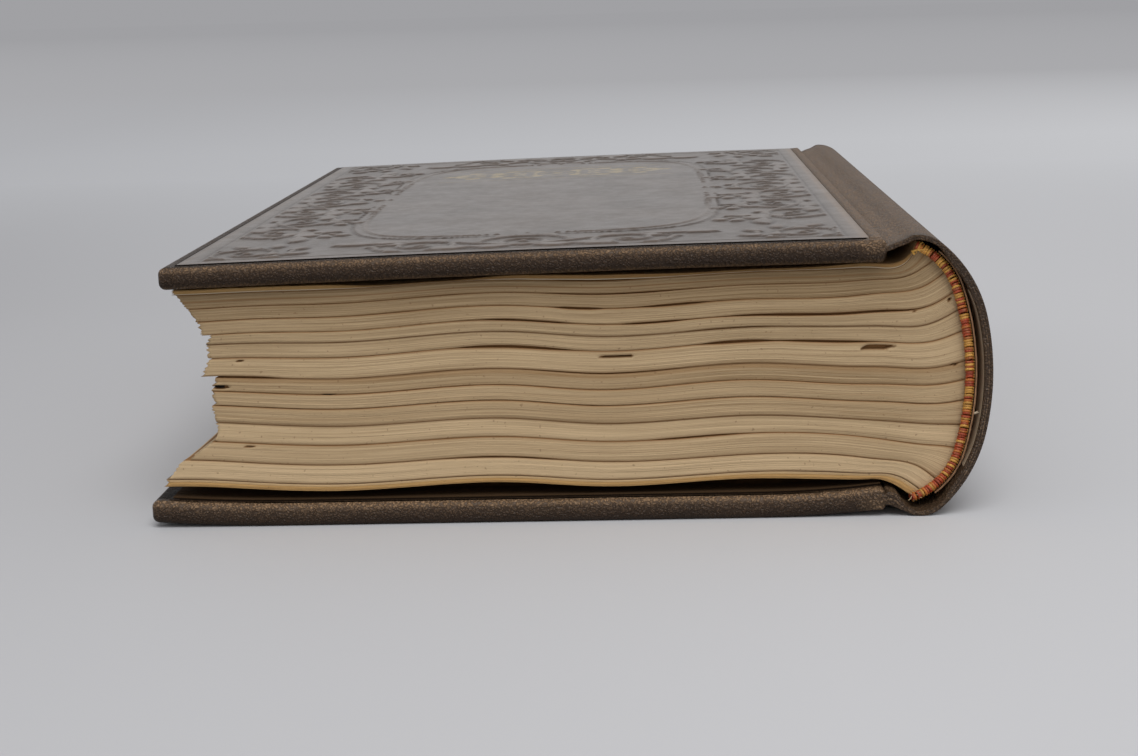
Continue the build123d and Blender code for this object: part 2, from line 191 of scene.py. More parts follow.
# Places where neighbouring gatherings part: fold number, middle X, half length, how far they part
PARTINGS = (
    (2, 93.0, 4.5, 0.45),
    (2, 113.5, 6.5, 0.40),
    (3, 81.5, 9.0, 0.35),
    (3, 109.0, 6.5, 0.35),
    (3, 145.0, 19.0, 0.50),
    (4, 125.0, 9.0, 0.20),
    (5, 79.5, 11.0, 0.55),
    (5, 126.5, 7.0, 0.55),
    (5, 145.0, 9.0, 0.45),
    (6, 20.5, 8.0, 0.45),
    (6, 98.0, 16.0, 0.22),
    (1, 101.0, 14.0, 0.25),
    (0, 97.0, 10.0, 0.25),
    (10, 118.0, 9.0, 0.30),
    (11, 76.0, 12.0, 0.20),
)

# Looks of the covers
FILLET_INSET = 3.0
FILLET_DEPTH = 0.55
PANEL_PITCH = 0.64
# How far the second stamped line lies from a panel's edge, and the room between it and the ornament
SECOND_LINE = 4.4
LINE_ROOM = 0.8
PANEL_EDGE_STEPS = (0.0, 0.11, 0.22, 0.34, 0.5, 0.9, 1.5, 2.2, 3.0, 3.8, 4.1, 4.4, 4.7, 5.0)
RELIEF_HEIGHT = 0.26
GROUND_DEPTH = 0.10
# How round the leather's edges at head and tail are: beside a board's hinge, and along joint and spine
BOARD_END_RADIUS = 0.85
JOINT_EDGE_RADIUS = 0.35
# How much thicker the turned-in leather makes the spine between its crests
SPINE_BUILD = 0.68
CORNER_STEPS = 6
# Width of the step where a case's leather drops out of sight under its stamped panel
SEAM = 0.12
# How far the leather stands above the front joint's groove of the CAD model
GROOVE_FILL = 0.75
# How much lower the leather lies outside the front cover's fillet
RIM_FALL = 0.22
# How much thicker the turned-in leather and endpaper make the back joint beside its board
BACK_JOINT_FILL = 1.9
# Across the spine leather's edge at head and tail: share of its thickness, and how pale it is there
CAP_LINES = ((0.3, 0.0), (0.42, 0.6), (0.55, 0.6), (0.66, 0.0), (0.84, 0.1), (0.93, 0.9))
BAND_MIDDLE = 14.0
BAND_PITCH_U = 22.5
BAND_PITCH_V = 21.6
CARTOUCHE_HALF_U = 42.0
CARTOUCHE_HALF_V = 86.0
# How square the cartouche's rounded frame is, and how far outside it the second line runs
CARTOUCHE_POWER = 0.42
CARTOUCHE_GAP = 2.3
GILT_MIDDLE_V = 58.0

# Silk of the endbands: red, rust, amber and frayed ends, and glue
RED = np.array([0.44, 0.06, 0.015])
RUST = np.array([0.60, 0.18, 0.03])
AMBER = np.array([0.76, 0.39, 0.07])
LOOSE_AMBER = np.array([0.82, 0.46, 0.08])
LOOSE_PALE = np.array([0.62, 0.46, 0.26])
GLUE = np.array([0.82, 0.72, 0.52])
TURN_PITCH = 0.56
TURN_RADIUS = 0.3
# How much the turns differ in place and swell, and how far they lean
TURN_SHIFT = 0.09
TURN_SWELL = (-0.12, 0.04)
TURN_LEAN = 0.22
LEAN_SPREAD = 0.16
KNOT_RADIUS = 0.24
KNOT_HALF_HEIGHT = 0.3
LOOSE_RADIUS = 0.09
LOOSE_LENGTH = 1.3

rng = np.random.default_rng(11)


def bell(value, middle, half, power=2):
    """1 at a middle, falling smoothly to about a third at half a width from it."""
    return np.exp(-(((value - middle) / half) ** power))


def ramp(value, start, length):
    """0 up to a start, then rising evenly to 1 over a length."""
    return np.clip((value - start) / length, 0, 1)


def lengths(line):
    """How far along a line each of its points lies."""
    return np.concatenate([[0], np.cumsum(np.hypot(*np.diff(line, axis=0).T))])


def at_lengths(line, reach, places):
    """Points of a line at places along it. reach tells how far along it its own points lie."""
    return np.stack([np.interp(places, reach, values) for values in line.T], axis=1)


def xyz(x, y, z):
    """Points from their coordinates, repeated over a whole grid where one is given only once."""
    return np.stack(np.broadcast_arrays(x, y, z), axis=-1)


def unit(angle):
    return np.array([math.cos(math.radians(angle)), math.sin(math.radians(angle))])


def trace(start, angle, steps, pitch):
    """Points and left normals along tangent arcs and runs, a step being (radius or length, turn)."""
    point, points, normals = np.array(start, float), [], []
    for size, turn in steps:
        side = math.copysign(1, turn)
        centre = point + unit(angle + 90) * size * side
        length = abs(math.radians(turn)) * size if turn else size
        count = max(3 if turn else 1, math.ceil(length / pitch))
        for number in range(count + 1):
            normal = unit(angle + turn * number / count + 90)
            on_run = point + unit(angle) * size * number / count
            points.append(centre - normal * size * side if turn else on_run)
            normals.append(normal)
        point, last = points.pop(), normals.pop()
        angle += turn
    return np.array([*points, point]), np.array([*normals, last])


def scaled_arcs(shares, heading, height):
    """Arc steps whose radii are shares of a height that they climb together."""
    climb = 0
    for share, turn in shares:
        climb += share * (unit(heading)[0] - unit(heading + turn)[0])
        heading += turn
    return [(share * height / climb, turn) for share, turn in shares]


spine_arcs = scaled_arcs(SPINE_ARC_SHARES, 0, SPINE_HEIGHT)


def joint_steps(joint, side):
    return [(size, side * turn) for size, turn in joint]


back_hinge_x = BACK_COVER_WIDTH + BACK_SETBACK
back_fall = trace((0, 0), 0, joint_steps(BACK_JOINT, -1), 1)[0][-1]
back_crest = np.array([back_hinge_x + back_fall[0], 0])
back_hinge = np.array([back_hinge_x, -back_fall[1] - BACK_JOINT[0][0]])
front_crest = trace(back_crest, 0, spine_arcs, 1)[0][-1]
front_rise = trace((0, 0), 0, joint_steps(FRONT_JOINT, 1), 1)[0][-1]
front_hinge = front_crest - front_rise + np.array([0, FRONT_JOINT[0][0]])
back_end = back_hinge[0] - BACK_SETBACK
front_end = front_hinge[0] - FRONT_SETBACK
front_fore = front_end - FRONT_COVER_WIDTH
spine_line = trace(back_crest, 0, spine_arcs, 0.2)[0]
spine_reach = spine_line[:, 0].max()
ROW_ORIGIN = np.array([spine_reach / 2, COVER_HEIGHT / 2, 0])


def to_row(points):
    """Millimetres of the drawing to metres of the row frame."""
    return (np.asarray(points, float) - ROW_ORIGIN) * MM


def add_to_scene(name, data):
    item = bpy.data.objects.new(name, data)
    bpy.context.scene.collection.objects.link(item)
    return item


def make_piece(name, points, faces, material, looks):
    """A smooth mesh with its place at rest and its looks kept as attributes for the material."""
    mesh = bpy.data.meshes.new(name)
    mesh.from_pydata(to_row(points).tolist(), [], [tuple(face) for face in faces])
    shape = bmesh.new()
    shape.from_mesh(mesh)
    bmesh.ops.recalc_face_normals(shape, faces=shape.faces)
    shape.to_mesh(mesh)
    shape.free()
    mesh.polygons.foreach_set("use_smooth", [True] * len(mesh.polygons))
    for look, values in {"rest": points, **looks}.items():
        kind, field = ("FLOAT", "value") if np.ndim(values) == 1 else ("FLOAT_VECTOR", "vector")
        layer = mesh.attributes.new(look, kind, "POINT")
        layer.data.foreach_set(field, np.asarray(values, np.float32).ravel())
    mesh.materials.append(material)
    piece = add_to_scene(name, mesh)
    return piece


class Parts:
    """Points, faces and looks of one piece, gathered part by part."""

    def __init__(self):
        self.points, self.faces, self.looks, self.count = [], [], [], 0

    def add(self, points, faces, looks):
        self.points.append(points)
        self.faces += (np.asarray(faces) + self.count).tolist()
        self.looks.append(looks)
        self.count += len(points)

    def add_grid(self, grid, looks):
        """A grid of points, with looks of one number or three for each of them."""
        flat = {key: look.reshape(-1, 3) if look.ndim == 3 else look.ravel() for key, look in looks.items()}
        self.add(grid.reshape(-1, 3), grid_faces(*grid.shape[:2]), flat)

    def piece(self, name, material, slot):
        looks = {key: np.concatenate([look[key] for look in self.looks]) for key in self.looks[0]}
        return make_piece(name, np.concatenate(self.points), self.faces, material, looks)


def grid_faces(rows, columns, wrap=False):
    """Quads of a grid of points stored row by row."""
    row = np.arange(rows - 1)[:, None]
    column = np.arange(columns if wrap else columns - 1)[None, :]
    near = row * columns + column
    far = row * columns + (column + 1) % columns
    return np.stack([near, far, far + columns, near + columns], axis=-1).reshape(-1, 4).tolist()


def wobble(along, waves, rows=1):
    """Smooth random curves over a line, one a row, about one unit high."""
    total = np.zeros((rows, len(along)))
    for wave in waves:
        phase = rng.uniform(0, 2 * math.pi, (rows, 1))
        size = rng.uniform(0.4, 1.0, (rows, 1))
        stretch = rng.uniform(0.8, 1.25, (rows, 1))
        total += size * np.sin(2 * math.pi * along[None, :] * stretch / wave + phase)
    return total / len(waves)


# Materials


class Nodes:
    """A node tree of a material or a world, with short ways to add nodes to it."""

    def __init__(self, owner):
        owner.use_nodes = True
        self.tree = owner.node_tree

    def node(self, kind, fields=None, **inputs):
        made = self.tree.nodes.new("ShaderNode" + kind)
        for field, value in (fields or {}).items():
            setattr(made, field, value)
        self.set(made, **inputs)
        return made

    def set(self, made, **inputs):
        for socket, value in inputs.items():
            self.put(made, socket.replace("_", " "), value)

    def put(self, made, socket, value):
        """Link a socket, or set it. A colour comes without its alpha."""
        target = made.inputs[socket]
        if isinstance(value, bpy.types.NodeSocket):
            self.tree.links.new(value, target)
        else:
            target.default_value = (*value, 1.0) if target.type == "RGBA" else value

    def noise(self, vector, scale, detail=2.0, roughness=0.6):
        made = self.node("TexNoise", Vector=vector, Scale=scale, Detail=detail, Roughness=roughness)
        return made.outputs["Fac"]

    def stretched_noise(self, vector, stretch, detail=2.0):
        return self.noise(self.node("Mapping", Vector=vector, Scale=stretch).outputs["Vector"], 1.0, detail)

    def spread(self, value, low, high, to_low=0.0, to_high=1.0):
        """Value's range from low to high, taken evenly to another range and held at its ends."""
        ends = {"From_Min": low, "From_Max": high, "To_Min": to_low, "To_Max": to_high}
        return self.node("MapRange", {"clamp": True}, Value=value, **ends).outputs["Result"]

    def math(self, operation, first, second):
        made = self.node("Math", {"operation": operation})
        self.put(made, 0, first)
        self.put(made, 1, second)
        return made.outputs["Value"]

    def times(self, first, second):
        return self.math("MULTIPLY", first, second)

    def plus(self, first, second):
        return self.math("ADD", first, second)

    def less(self, first, second):
        return self.math("SUBTRACT", first, second)

    def mix(self, share, first, second):
        made = self.node("Mix", {"data_type": "RGBA"})
        for socket, value in ((0, share), (6, first), (7, second)):
            self.put(made, socket, value)
        return made.outputs[2]


class Shader(Nodes):
    """A principled material and its node tree."""

    def __init__(self, name):
        self.material = bpy.data.materials.new(name)
        super().__init__(self.material)
        self.surface = self.tree.nodes["Principled BSDF"]

    def look(self, name, output="Fac"):
        return self.node("Attribute", {"attribute_name": name}).outputs[output]

    def place(self):
        return self.node("TexCoord").outputs["Object"]

    def apart(self):
        """The place's three coordinates."""
        return self.node("SeparateXYZ", Vector=self.place()).outputs

    def finish(self, relief, distance, **inputs):
        """The material, with its inputs and a relief of a distance in metres."""
        bump = self.node("Bump", Height=relief, Distance=distance, Strength=1.0)
        self.set(self.surface, Normal=bump.outputs["Normal"], **inputs)
        return self.material


def leather_material():
    """Dark brown goat leather: pebbled with painted shade in its crevices, rubbed tan at its edges and
    joints with a painted highlight on its rounded rims and pebble tops, painted shade where marked, gilt
    where tooled.
    """
    shader = Shader("book_leather")
    rest = shader.look("rest", "Vector")
    grain, wear_and_highlight, sunk_ground_and_shade, gilt = [shader.look(name) for name in ("grain", "wear_and_highlight", "sunk_ground_and_shade", "gilt")]
    warped = shader.node("VectorMath", {"operation": "ADD"})
    shader.put(warped, 0, rest)
    shader.put(warped, 1, shader.node("TexNoise", Vector=rest, Scale=0.9, Detail=1.0).outputs["Color"])
    cells = {"Vector": warped.outputs["Vector"], "Scale": 2.0, "Smoothness": 0.35}
    pebbles = shader.node("TexVoronoi", {"feature": "SMOOTH_F1"}, **cells).outputs["Distance"]
    fine = shader.noise(rest, 3.2, 3.0, 0.5)
    broad = shader.noise(rest, 0.045, 3.0)
    patches = shader.noise(rest, 0.35, 3.0)
    base = shader.mix(shader.spread(broad, 0.35, 0.65), (0.036, 0.0195, 0.010), (0.055, 0.0305, 0.0155))
    # Painted shade: the pebbles' crevices darker
    crevice_shade = shader.times(shader.spread(pebbles, 0.30, 0.62), grain)
    base = shader.mix(shader.times(crevice_shade, 0.5), base, (0.012, 0.007, 0.004))
    # Rubbed tan, partly real wear and partly a painted highlight; it stays on the pebbles' tops, as painted
    # highlight, and leaves their hollows
    rubbed_and_highlit = shader.times(wear_and_highlight, shader.spread(patches, 0.25, 0.62, 0.6, 1.0))
    hollows = shader.times(shader.spread(pebbles, 0.15, 0.6, 0.0, 0.8), grain)
    rubbed_and_highlit = shader.times(rubbed_and_highlit, shader.less(1.0, hollows))
    base = shader.mix(rubbed_and_highlit, base, (0.36, 0.228, 0.128))
    # Painted shade: near black, without sheen, where the attribute is set
    base = shader.mix(sunk_ground_and_shade, base, (0.006, 0.004, 0.003))
    gold = shader.times(gilt, shader.spread(shader.noise(rest, 0.8, 3.0, 0.7), 0.36, 0.55, 0.3, 1.0))
    base = shader.mix(gold, base, (0.46, 0.33, 0.10))
    relief = shader.times(shader.spread(pebbles, 0.0, 0.7, 1.0, 0.0), grain)
    relief = shader.plus(relief, shader.times(fine, 0.12))
    rough = shader.plus(shader.spread(patches, 0.3, 0.7, 0.26, 0.36), shader.times(grain, 0.14))
    mottled = shader.spread(shader.noise(rest, 0.09, 4.0), 0.35, 0.65, 0.72, 1.12)
    dull = shader.less(1.0, sunk_ground_and_shade)
    polish = shader.times(shader.spread(grain, 0.2, 0.9, 0.58, 0.0), dull)
    return shader.finish(
        relief,
        0.0003,
        Base_Color=base,
        Roughness=rough,
        Metallic=shader.times(gold, 0.85),
        Specular_IOR_Level=shader.times(dull, shader.spread(grain, 0.2, 1.0, 0.42, 0.27)),
        Coat_Weight=shader.times(polish, mottled),
        Coat_Roughness=0.3,
    )


def edge_material(name, dark, light, gap, stain):
    """Edges of leaves: fine lines along every leaf, dark folds between gatherings (their own brown together
    with painted shade in the gaps), browned bands, painted near-black shade in tears.
    """
    shader = Shader(name)
    leaf = shader.look("leaf", "Vector")
    lines = shader.stretched_noise(leaf, (0.012, 1.0, 0.012), 1.0)
    pairs = shader.stretched_noise(leaf, (0.03, 0.28, 0.03))
    fibres = shader.stretched_noise(leaf, (1.2, 3.0, 1.2))
    specks = shader.noise(shader.look("rest", "Vector"), 1.1, 1.0, 0.5)
    level = shader.look("tone")
    for layer, reach in ((lines, 0.44), (pairs, 0.36), (fibres, 0.10)):
        level = shader.plus(level, shader.spread(layer, 0.3, 0.7, -reach, reach))
    base = shader.mix(shader.spread(level, -0.9, 0.9), dark, light)
    base = shader.mix(shader.look("stain"), base, stain)
    base = shader.mix(shader.spread(specks, 0.70, 0.76, 0.0, 0.5), base, (0.20, 0.11, 0.05))
    # The fold colour: partly the folds' own brown, partly painted shade in the gaps between gatherings
    fold = shader.look("dark")
    base = shader.mix(shader.spread(fold, 0.0, 1.0), base, gap)
    # Painted shade: near black inside tears and holes
    base = shader.mix(shader.spread(fold, 1.1, 1.6), base, (0.008, 0.005, 0.003))
    relief = shader.plus(lines, shader.times(fibres, 0.35))
    return shader.finish(relief, 0.00016, Base_Color=base, Roughness=0.86)


def paper(shader):
    """Faint clouds and fibres of paper."""
    clouds = shader.noise(shader.place(), 26.0, 4.0)
    return clouds, shader.stretched_noise(shader.place(), (900.0, 2600.0, 900.0))


def sheet_material(name, light, dark):
    """Flat pulp or paper with faint clouds and fibres."""
    shader = Shader(name)
    clouds, fibres = paper(shader)
    base = shader.mix(shader.spread(clouds, 0.3, 0.7), light, dark)
    base = shader.mix(shader.spread(fibres, 0.35, 0.75, 0.0, 0.25), base, dark)
    return shader.finish(fibres, 0.00004, Base_Color=base, Roughness=0.85)


def pasted_material():
    """Endpaper pasted inside a cover, painted near black at its margins as shade in the gap beside the
    leaves.
    """
    shader = Shader("pasted_endpaper")
    clouds, fibres = paper(shader)
    base = shader.mix(shader.spread(clouds, 0.3, 0.7), (0.46, 0.29, 0.14), (0.36, 0.21, 0.09))
    place = shader.apart()
    from_end = shader.less(PASTEDOWN_HALF_Y, shader.math("ABSOLUTE", place["Y"], 0.0))
    margin = shader.math("MINIMUM", from_end, shader.plus(place["X"], PASTEDOWN_FORE))
    margin = shader.plus(margin, shader.spread(clouds, 0.3, 0.7, -0.002, 0.002))
    # Painted shade: the margins near black
    base = shader.mix(shader.spread(margin, 0.007, 0.014, 0.9, 0.0), base, (0.022, 0.011, 0.006))
    return shader.finish(fibres, 0.00004, Base_Color=base, Roughness=0.9, Specular_IOR_Level=0.1)


def weave_material(name, light, dark, threads):
    """Plain woven cloth, with a number that sets how fine it is."""
    shader = Shader(name)
    yarns = []
    for way in ("Y", "Z"):
        inputs = {"Vector": shader.place(), "Scale": threads, "Distortion": 1.0}
        yarns.append(shader.node("TexWave", {"bands_direction": way}, **inputs).outputs["Fac"])
    cloth = shader.times(*yarns)
    base = shader.mix(shader.spread(cloth, 0.0, 1.0), dark, light)
    return shader.finish(cloth, 0.0001, Base_Color=base, Roughness=0.9)


def silk_material():
    """Worn silk thread in its own colours, with strands along each turn."""
    shader = Shader("endband_silk")
    rest = shader.look("rest", "Vector")
    strands = shader.noise(rest, 9.0)
    faded = shader.spread(shader.noise(rest, 1.3), 0.5, 0.8, 0.0, 0.35)
    base = shader.mix(faded, shader.look("silk", "Vector"), (0.66, 0.40, 0.15))
    base = shader.mix(shader.spread(strands, 0.35, 0.65, 0.5, 0.0), base, (0.12, 0.025, 0.008))
    return shader.finish(strands, 0.00008, Base_Color=base, Roughness=0.5)


leather = leather_material()
# The gap colours darken the folds: partly their own brown, partly painted shade in the gaps
page_edges = edge_material(
    "page_edges",
    dark=(0.25, 0.162, 0.075),
    light=(0.63, 0.463, 0.272),
    gap=(0.23, 0.112, 0.036),
    stain=(0.30, 0.165, 0.062),
)
endpaper_edges = edge_material(
    "endpaper_edges",
    dark=(0.40, 0.22, 0.075),
    light=(0.76, 0.47, 0.18),
    gap=(0.05, 0.025, 0.012),
    stain=(0.64, 0.52, 0.35),
)
endpaper = pasted_material()
lining_paper = sheet_material("lining_paper", (0.42, 0.24, 0.13), (0.30, 0.16, 0.08))
board_pulp = sheet_material("board_pulp", (0.36, 0.28, 0.19), (0.26, 0.19, 0.12))
tape_linen = weave_material("tape_linen", (0.62, 0.54, 0.40), (0.34, 0.28, 0.19), 700.0)
mull_cloth = weave_material("mull_cloth", (0.55, 0.47, 0.34), (0.20, 0.15, 0.09), 420.0)
silk = silk_material()


# Covers and spine


def front_height(x, depth=0.0):
    """Height of the front cover's face at a depth below its outer one."""
    share = (x - front_fore) / FRONT_COVER_WIDTH
    return front_hinge[1] - depth - FRONT_DROP * (1 - share) + 4 * FRONT_BOW * share * (1 - share)


def curl(reach, length, lift):
    """Rise of an arc that leaves a flat and climbs to its lift over its length."""
    radius = (length**2 + lift**2) / (2 * lift)
    reach = np.clip(reach, 0, length)
    return radius - np.sqrt(radius**2 - reach**2)


def back_height(x, depth=0.0):
    """Height of the back cover's face at a depth above its outer one."""
    fore = curl(BACK_FORE_CURL - x, BACK_FORE_CURL, BACK_FORE_LIFT)
    hinge = curl(x - (back_end - BACK_HINGE_CURL), BACK_HINGE_CURL, back_hinge[1])
    return depth + fore + hinge


def corner(centre, first, last, radius, count):
    angles = np.linspace(first, last, count)
    return [centre + unit(angle) * radius for angle in angles]


def spaced(low, high, pitch, extra=()):
    count = math.ceil(abs(high - low) / pitch) + 1
    line = np.concatenate([np.linspace(low, high, count), extra])
    return np.unique(line) if high > low else np.unique(line)[::-1]


# A cover's face height over X, its side (1 up, -1 down), where its board starts and ends, its joint's and
# half spine's steps and hinge, and how its leather stands above the joint, falls at the rim and thickens
Cover = namedtuple("Cover", "height side fore end joint spine hinge lift rim_fall fill")


def case_section(cover):
    """Closed section of one cover, its joint and half the spine, as an outer and an inner path."""
    height, side, fore, end, joint, spine, hinge_point, lift, _, fill = cover
    edge, hinge = COVER_EDGE_RADIUS, COVER_HINGE_RADIUS
    groove_depth = joint[0][0] - lift
    shoulder = min(hinge, 0.9 * groove_depth)
    outer_fore = np.array([fore + edge, height(fore + edge) - side * edge])
    inner_fore = np.array([fore + edge, height(fore + edge, COVER_BUILD) + side * edge])
    outer_hinge = np.array([end - shoulder, height(end - shoulder) - side * shoulder])
    inner_hinge = np.array([end - hinge, height(end - hinge, COVER_BUILD) + side * hinge])
    inner_xs = spaced(end - hinge - 0.4, fore + edge + 0.5, 4.0)
    inside = [np.array([x, height(x, COVER_BUILD)]) for x in inner_xs]
    seams = [FILLET_INSET, FILLET_INSET + SEAM]
    seams = [fore + seam for seam in seams] + [end - seam for seam in seams]
    outer_xs = spaced(fore + edge + 0.3, end - hinge - 0.2, 2.4, seams)
    outside = [np.array([x, height(x)]) for x in outer_xs]
    lead = 0.4
    steps = [(lead, 0.0), *joint_steps(joint, side), *[(size, -side * turn) for size, turn in spine]]
    start = (hinge_point[0] - lead, hinge_point[1] - side * joint[0][0])
    run, normals = trace(start, 0, steps, 0.45)
    run[:, 1] += side * lift * bell(run[:, 0], start[0] + 1.2, 1.7)
    outer = [
        *corner(inner_hinge, 0, -90 * side, hinge, CORNER_STEPS),
        *inside,
        *corner(inner_fore, -90 * side, -180 * side, edge, CORNER_STEPS),
        *corner(outer_fore, 180 * side, 90 * side, edge, CORNER_STEPS),
        *outside,
        *corner(outer_hinge, 90 * side, 0, shoulder, CORNER_STEPS + 1),
        np.array([end + 0.06, height(end) - side * (shoulder + groove_depth) / 2]),
        *run,
    ]
    arc = lengths(run)
    crest_at = lead + sum(size if turn == 0 else size * math.radians(abs(turn)) for size, turn in joint)
    thick = SPINE_LEATHER + SPINE_BUILD * ramp(arc, crest_at + 6.0, 4.0) + fill * bell(arc, 0, 2.6)
    back = (run - side * normals * thick[:, None])[::-1]
    return np.array(outer), back, 2 * CORNER_STEPS + len(inside), len(outer) - len(run)


def section_normals(path, side):
    tangent = np.gradient(path, axis=0)
    tangent /= np.hypot(*tangent.T)[:, None]
    return np.stack([tangent[:, 1], -tangent[:, 0]], axis=1) * side


def case_looks(points, past, cover):
    """How rubbed and how dark a cover's leather is at each point: rubbed tan with a painted highlight on
    the boards' rounded upper rims, and dark with painted shade on the lower and inner faces. past marks
    those beyond the board.

    Each bell takes an amount at a place, with a half width in millimetres.
    """
    height, side, fore, end = cover[:4]
    hinge_x = cover.hinge[0]
    x, y, z = points.T
    depth = side * (height(x) - z)
    from_top = depth if side > 0 else COVER_BUILD - depth
    ends = np.minimum(y, COVER_HEIGHT - y)
    # Painted highlight on the rounded upper rim of a board's edge faces, added to the rubbed tan
    upper = bell(from_top, 0.6, 0.9)
    rim_wear_and_highlight = 0.8 * bell(ends, 0.3, 1.0) * upper
    rim_wear_and_highlight += 0.5 * bell(x, fore + 0.3, 0.9) * upper
    rim_wear_and_highlight += 0.9 * bell(depth, COVER_BUILD, 0.6) * (ends < 1.7)
    rim_wear_and_highlight += bell(x, end - 1.4, 2.6) * (depth < 2.2)
    spine = 0.52 + 0.25 * bell(x, hinge_x + 9.0, 5.0) * (np.abs(depth) < 9.0)
    spine += 0.4 * bell(x, hinge_x + 1.0, 3.0)
    spine *= 0.3 + 0.7 * ramp(ends, 0.5, 4.0)
    # Painted shade on the lower part of a board's edge faces
    under = (0.4 if side > 0 else 0.2) * ramp(from_top, 1.3, 2.4) * (ends < 1.6)
    # Painted shade on a cover's inner face, where it faces the leaves
    inner_painted_shade = 0.85 * (depth > COVER_BUILD - 0.3) * (ends > 1.8)
    return np.where(past, spine, rim_wear_and_highlight), np.where(past, 0, np.maximum(under, inner_painted_shade))


def case_piece(name, cover):
    """Leather of one cover with its joint and half the spine, rounded at head and tail."""
    height, side, fore, end = cover[:4]
    outer, back, turn, first_run = case_section(cover)
    section = np.concatenate([outer, back])
    inward = np.concatenate([section_normals(outer, side), section_normals(back, side)])
    count = len(section)
    on_board = np.arange(count) < first_run
    x = section[:, 0]
    board_radius = BOARD_END_RADIUS + (COVER_EDGE_RADIUS - BOARD_END_RADIUS) * ramp(end - x, 0, 6.0)
    radius = np.where(on_board, board_radius, JOINT_EDGE_RADIUS)
    rings, lines = [], []
    for angle in np.linspace(90, 0, 7):
        across, along = (1 - unit(angle))[:, None] * radius
        rings.append(section + inward * across[:, None])
        lines.append(along)
    seams = [FILLET_INSET, FILLET_INSET + SEAM]
    middle = spaced(1.3, COVER_HEIGHT - 1.3, 2.6, seams + [COVER_HEIGHT - seam for seam in seams])
    rings = np.array(rings + [section] * len(middle) + rings[::-1])
    flat_lines = [np.full(count, y) for y in middle]
    lines = np.array(lines + flat_lines + [COVER_HEIGHT - line for line in lines[::-1]])
    low, high = FILLET_INSET + SEAM / 2, COVER_HEIGHT - FILLET_INSET - SEAM / 2
    outer_half = on_board & (side * (section[:, 1] - height(x, COVER_BUILD / 2)) > 0)
    face = outer_half & (x > fore + low) & (x < end - low)
    sunk = (FILLET_DEPTH + 0.1) * (face[None, :] & (lines > low) & (lines < high))
    rim_reach = FILLET_INSET + 0.03
    at_rim = (x < fore + rim_reach)[None, :] | (np.minimum(lines, COVER_HEIGHT - lines) < rim_reach)
    sunk += cover.rim_fall * at_rim * (outer_half * ramp(end - x, 0, 4.0))[None, :]
    heights = np.clip(rings[:, :, 1] - side * sunk, 0, SPINE_HEIGHT)
    points = xyz(rings[:, :, 0], lines, heights).reshape(-1, 3)
    total = len(rings)
    past = np.tile(~on_board, total)
    wear_and_highlight, sunk_ground_and_shade = case_looks(points, past, cover)
    faces = grid_faces(total, count, wrap=True)
    points, faces, light = cap_ends(points, faces, total, count, turn, first_run, len(back))
    looks = {
        "grain": np.ones(len(points)),
        "wear_and_highlight": np.clip(np.concatenate([wear_and_highlight, light]), 0, 1),
        "sunk_ground_and_shade": np.concatenate([sunk_ground_and_shade, np.zeros(len(light))]),
        "gilt": np.zeros(len(points)),
    }
    return make_piece(name, points, faces, leather, looks)


def zip_chains(xs, low, high):
    """Triangles between two chains of point numbers that run the same way along X."""
    faces = []
    below, above = 0, 0
    while below < len(low) - 1 or above < len(high) - 1:
        last_above = above == len(high) - 1
        if last_above or (below < len(low) - 1 and xs[low[below + 1]] < xs[high[above + 1]]):
            faces.append([low[below], low[below + 1], high[above]])
            below += 1
        else:
            faces.append([low[below], high[above + 1], high[above]])
            above += 1
    return faces


def cap_ends(points, faces, total, count, turn, first_run, run_count):
    """Close a cover's leather at head and tail, with a pale line of board in the spine's edge."""
    extra, light = [], []
    number = len(points)
    for first in (0, (total - 1) * count):
        outer = first + first_run + np.arange(run_count)
        inner = first + count - 1 - np.arange(run_count)
        faces += zip_chains(points[:, 0], first + np.arange(turn)[::-1], first + np.arange(turn, first_run))
        faces.append([first + first_run - 1, outer[0], inner[0], first])
        columns = [outer]
        for share, pale in CAP_LINES:
            extra.append(points[outer] * (1 - share) + points[inner] * share)
            light.append(pale * np.clip(1.25 - points[outer, 2] / SPINE_HEIGHT, 0, 1))
            columns.append(number + np.arange(run_count))
            number += run_count
        columns.append(inner)
        for near, far in zip(columns[:-1], columns[1:]):
            faces += np.stack([near[:-1], near[1:], far[1:], far[:-1]], axis=1).tolist()
    return np.concatenate([points, *extra]), faces, np.concatenate(light)


def half_spine(from_back):
    """The spine's arcs from one crest to the middle of the broadest one."""
    arcs = spine_arcs if from_back else spine_arcs[::-1]
    radius, turn = arcs[2]
    return [*arcs[:2], (radius, turn / 2)]


front_parts = (front_height, 1, front_fore, front_end, FRONT_JOINT, half_spine(False), front_hinge)
front_cover = Cover(*front_parts, lift=GROOVE_FILL, rim_fall=RIM_FALL, fill=0.0)
back_parts = (back_height, -1, 0.0, back_end, BACK_JOINT, half_spine(True), back_hinge)
back_cover = Cover(*back_parts, lift=0.0, rim_fall=0.0, fill=BACK_JOINT_FILL)
front_case = case_piece("front_case_leather", front_cover)
back_case = case_piece("back_case_leather", back_cover)
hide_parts("front_leather", "spine_leather")
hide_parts("back_leather", "spine_leather")
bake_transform(front_case)
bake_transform(back_case)


# Blind-stamped panels


def stroke(points, widths):
    """Points of a stamped line with their half-widths, close enough to run together."""
    points = np.asarray(points, float)
    widths = np.broadcast_to(np.asarray(widths, float), (len(points),))
    return np.column_stack([points, widths])


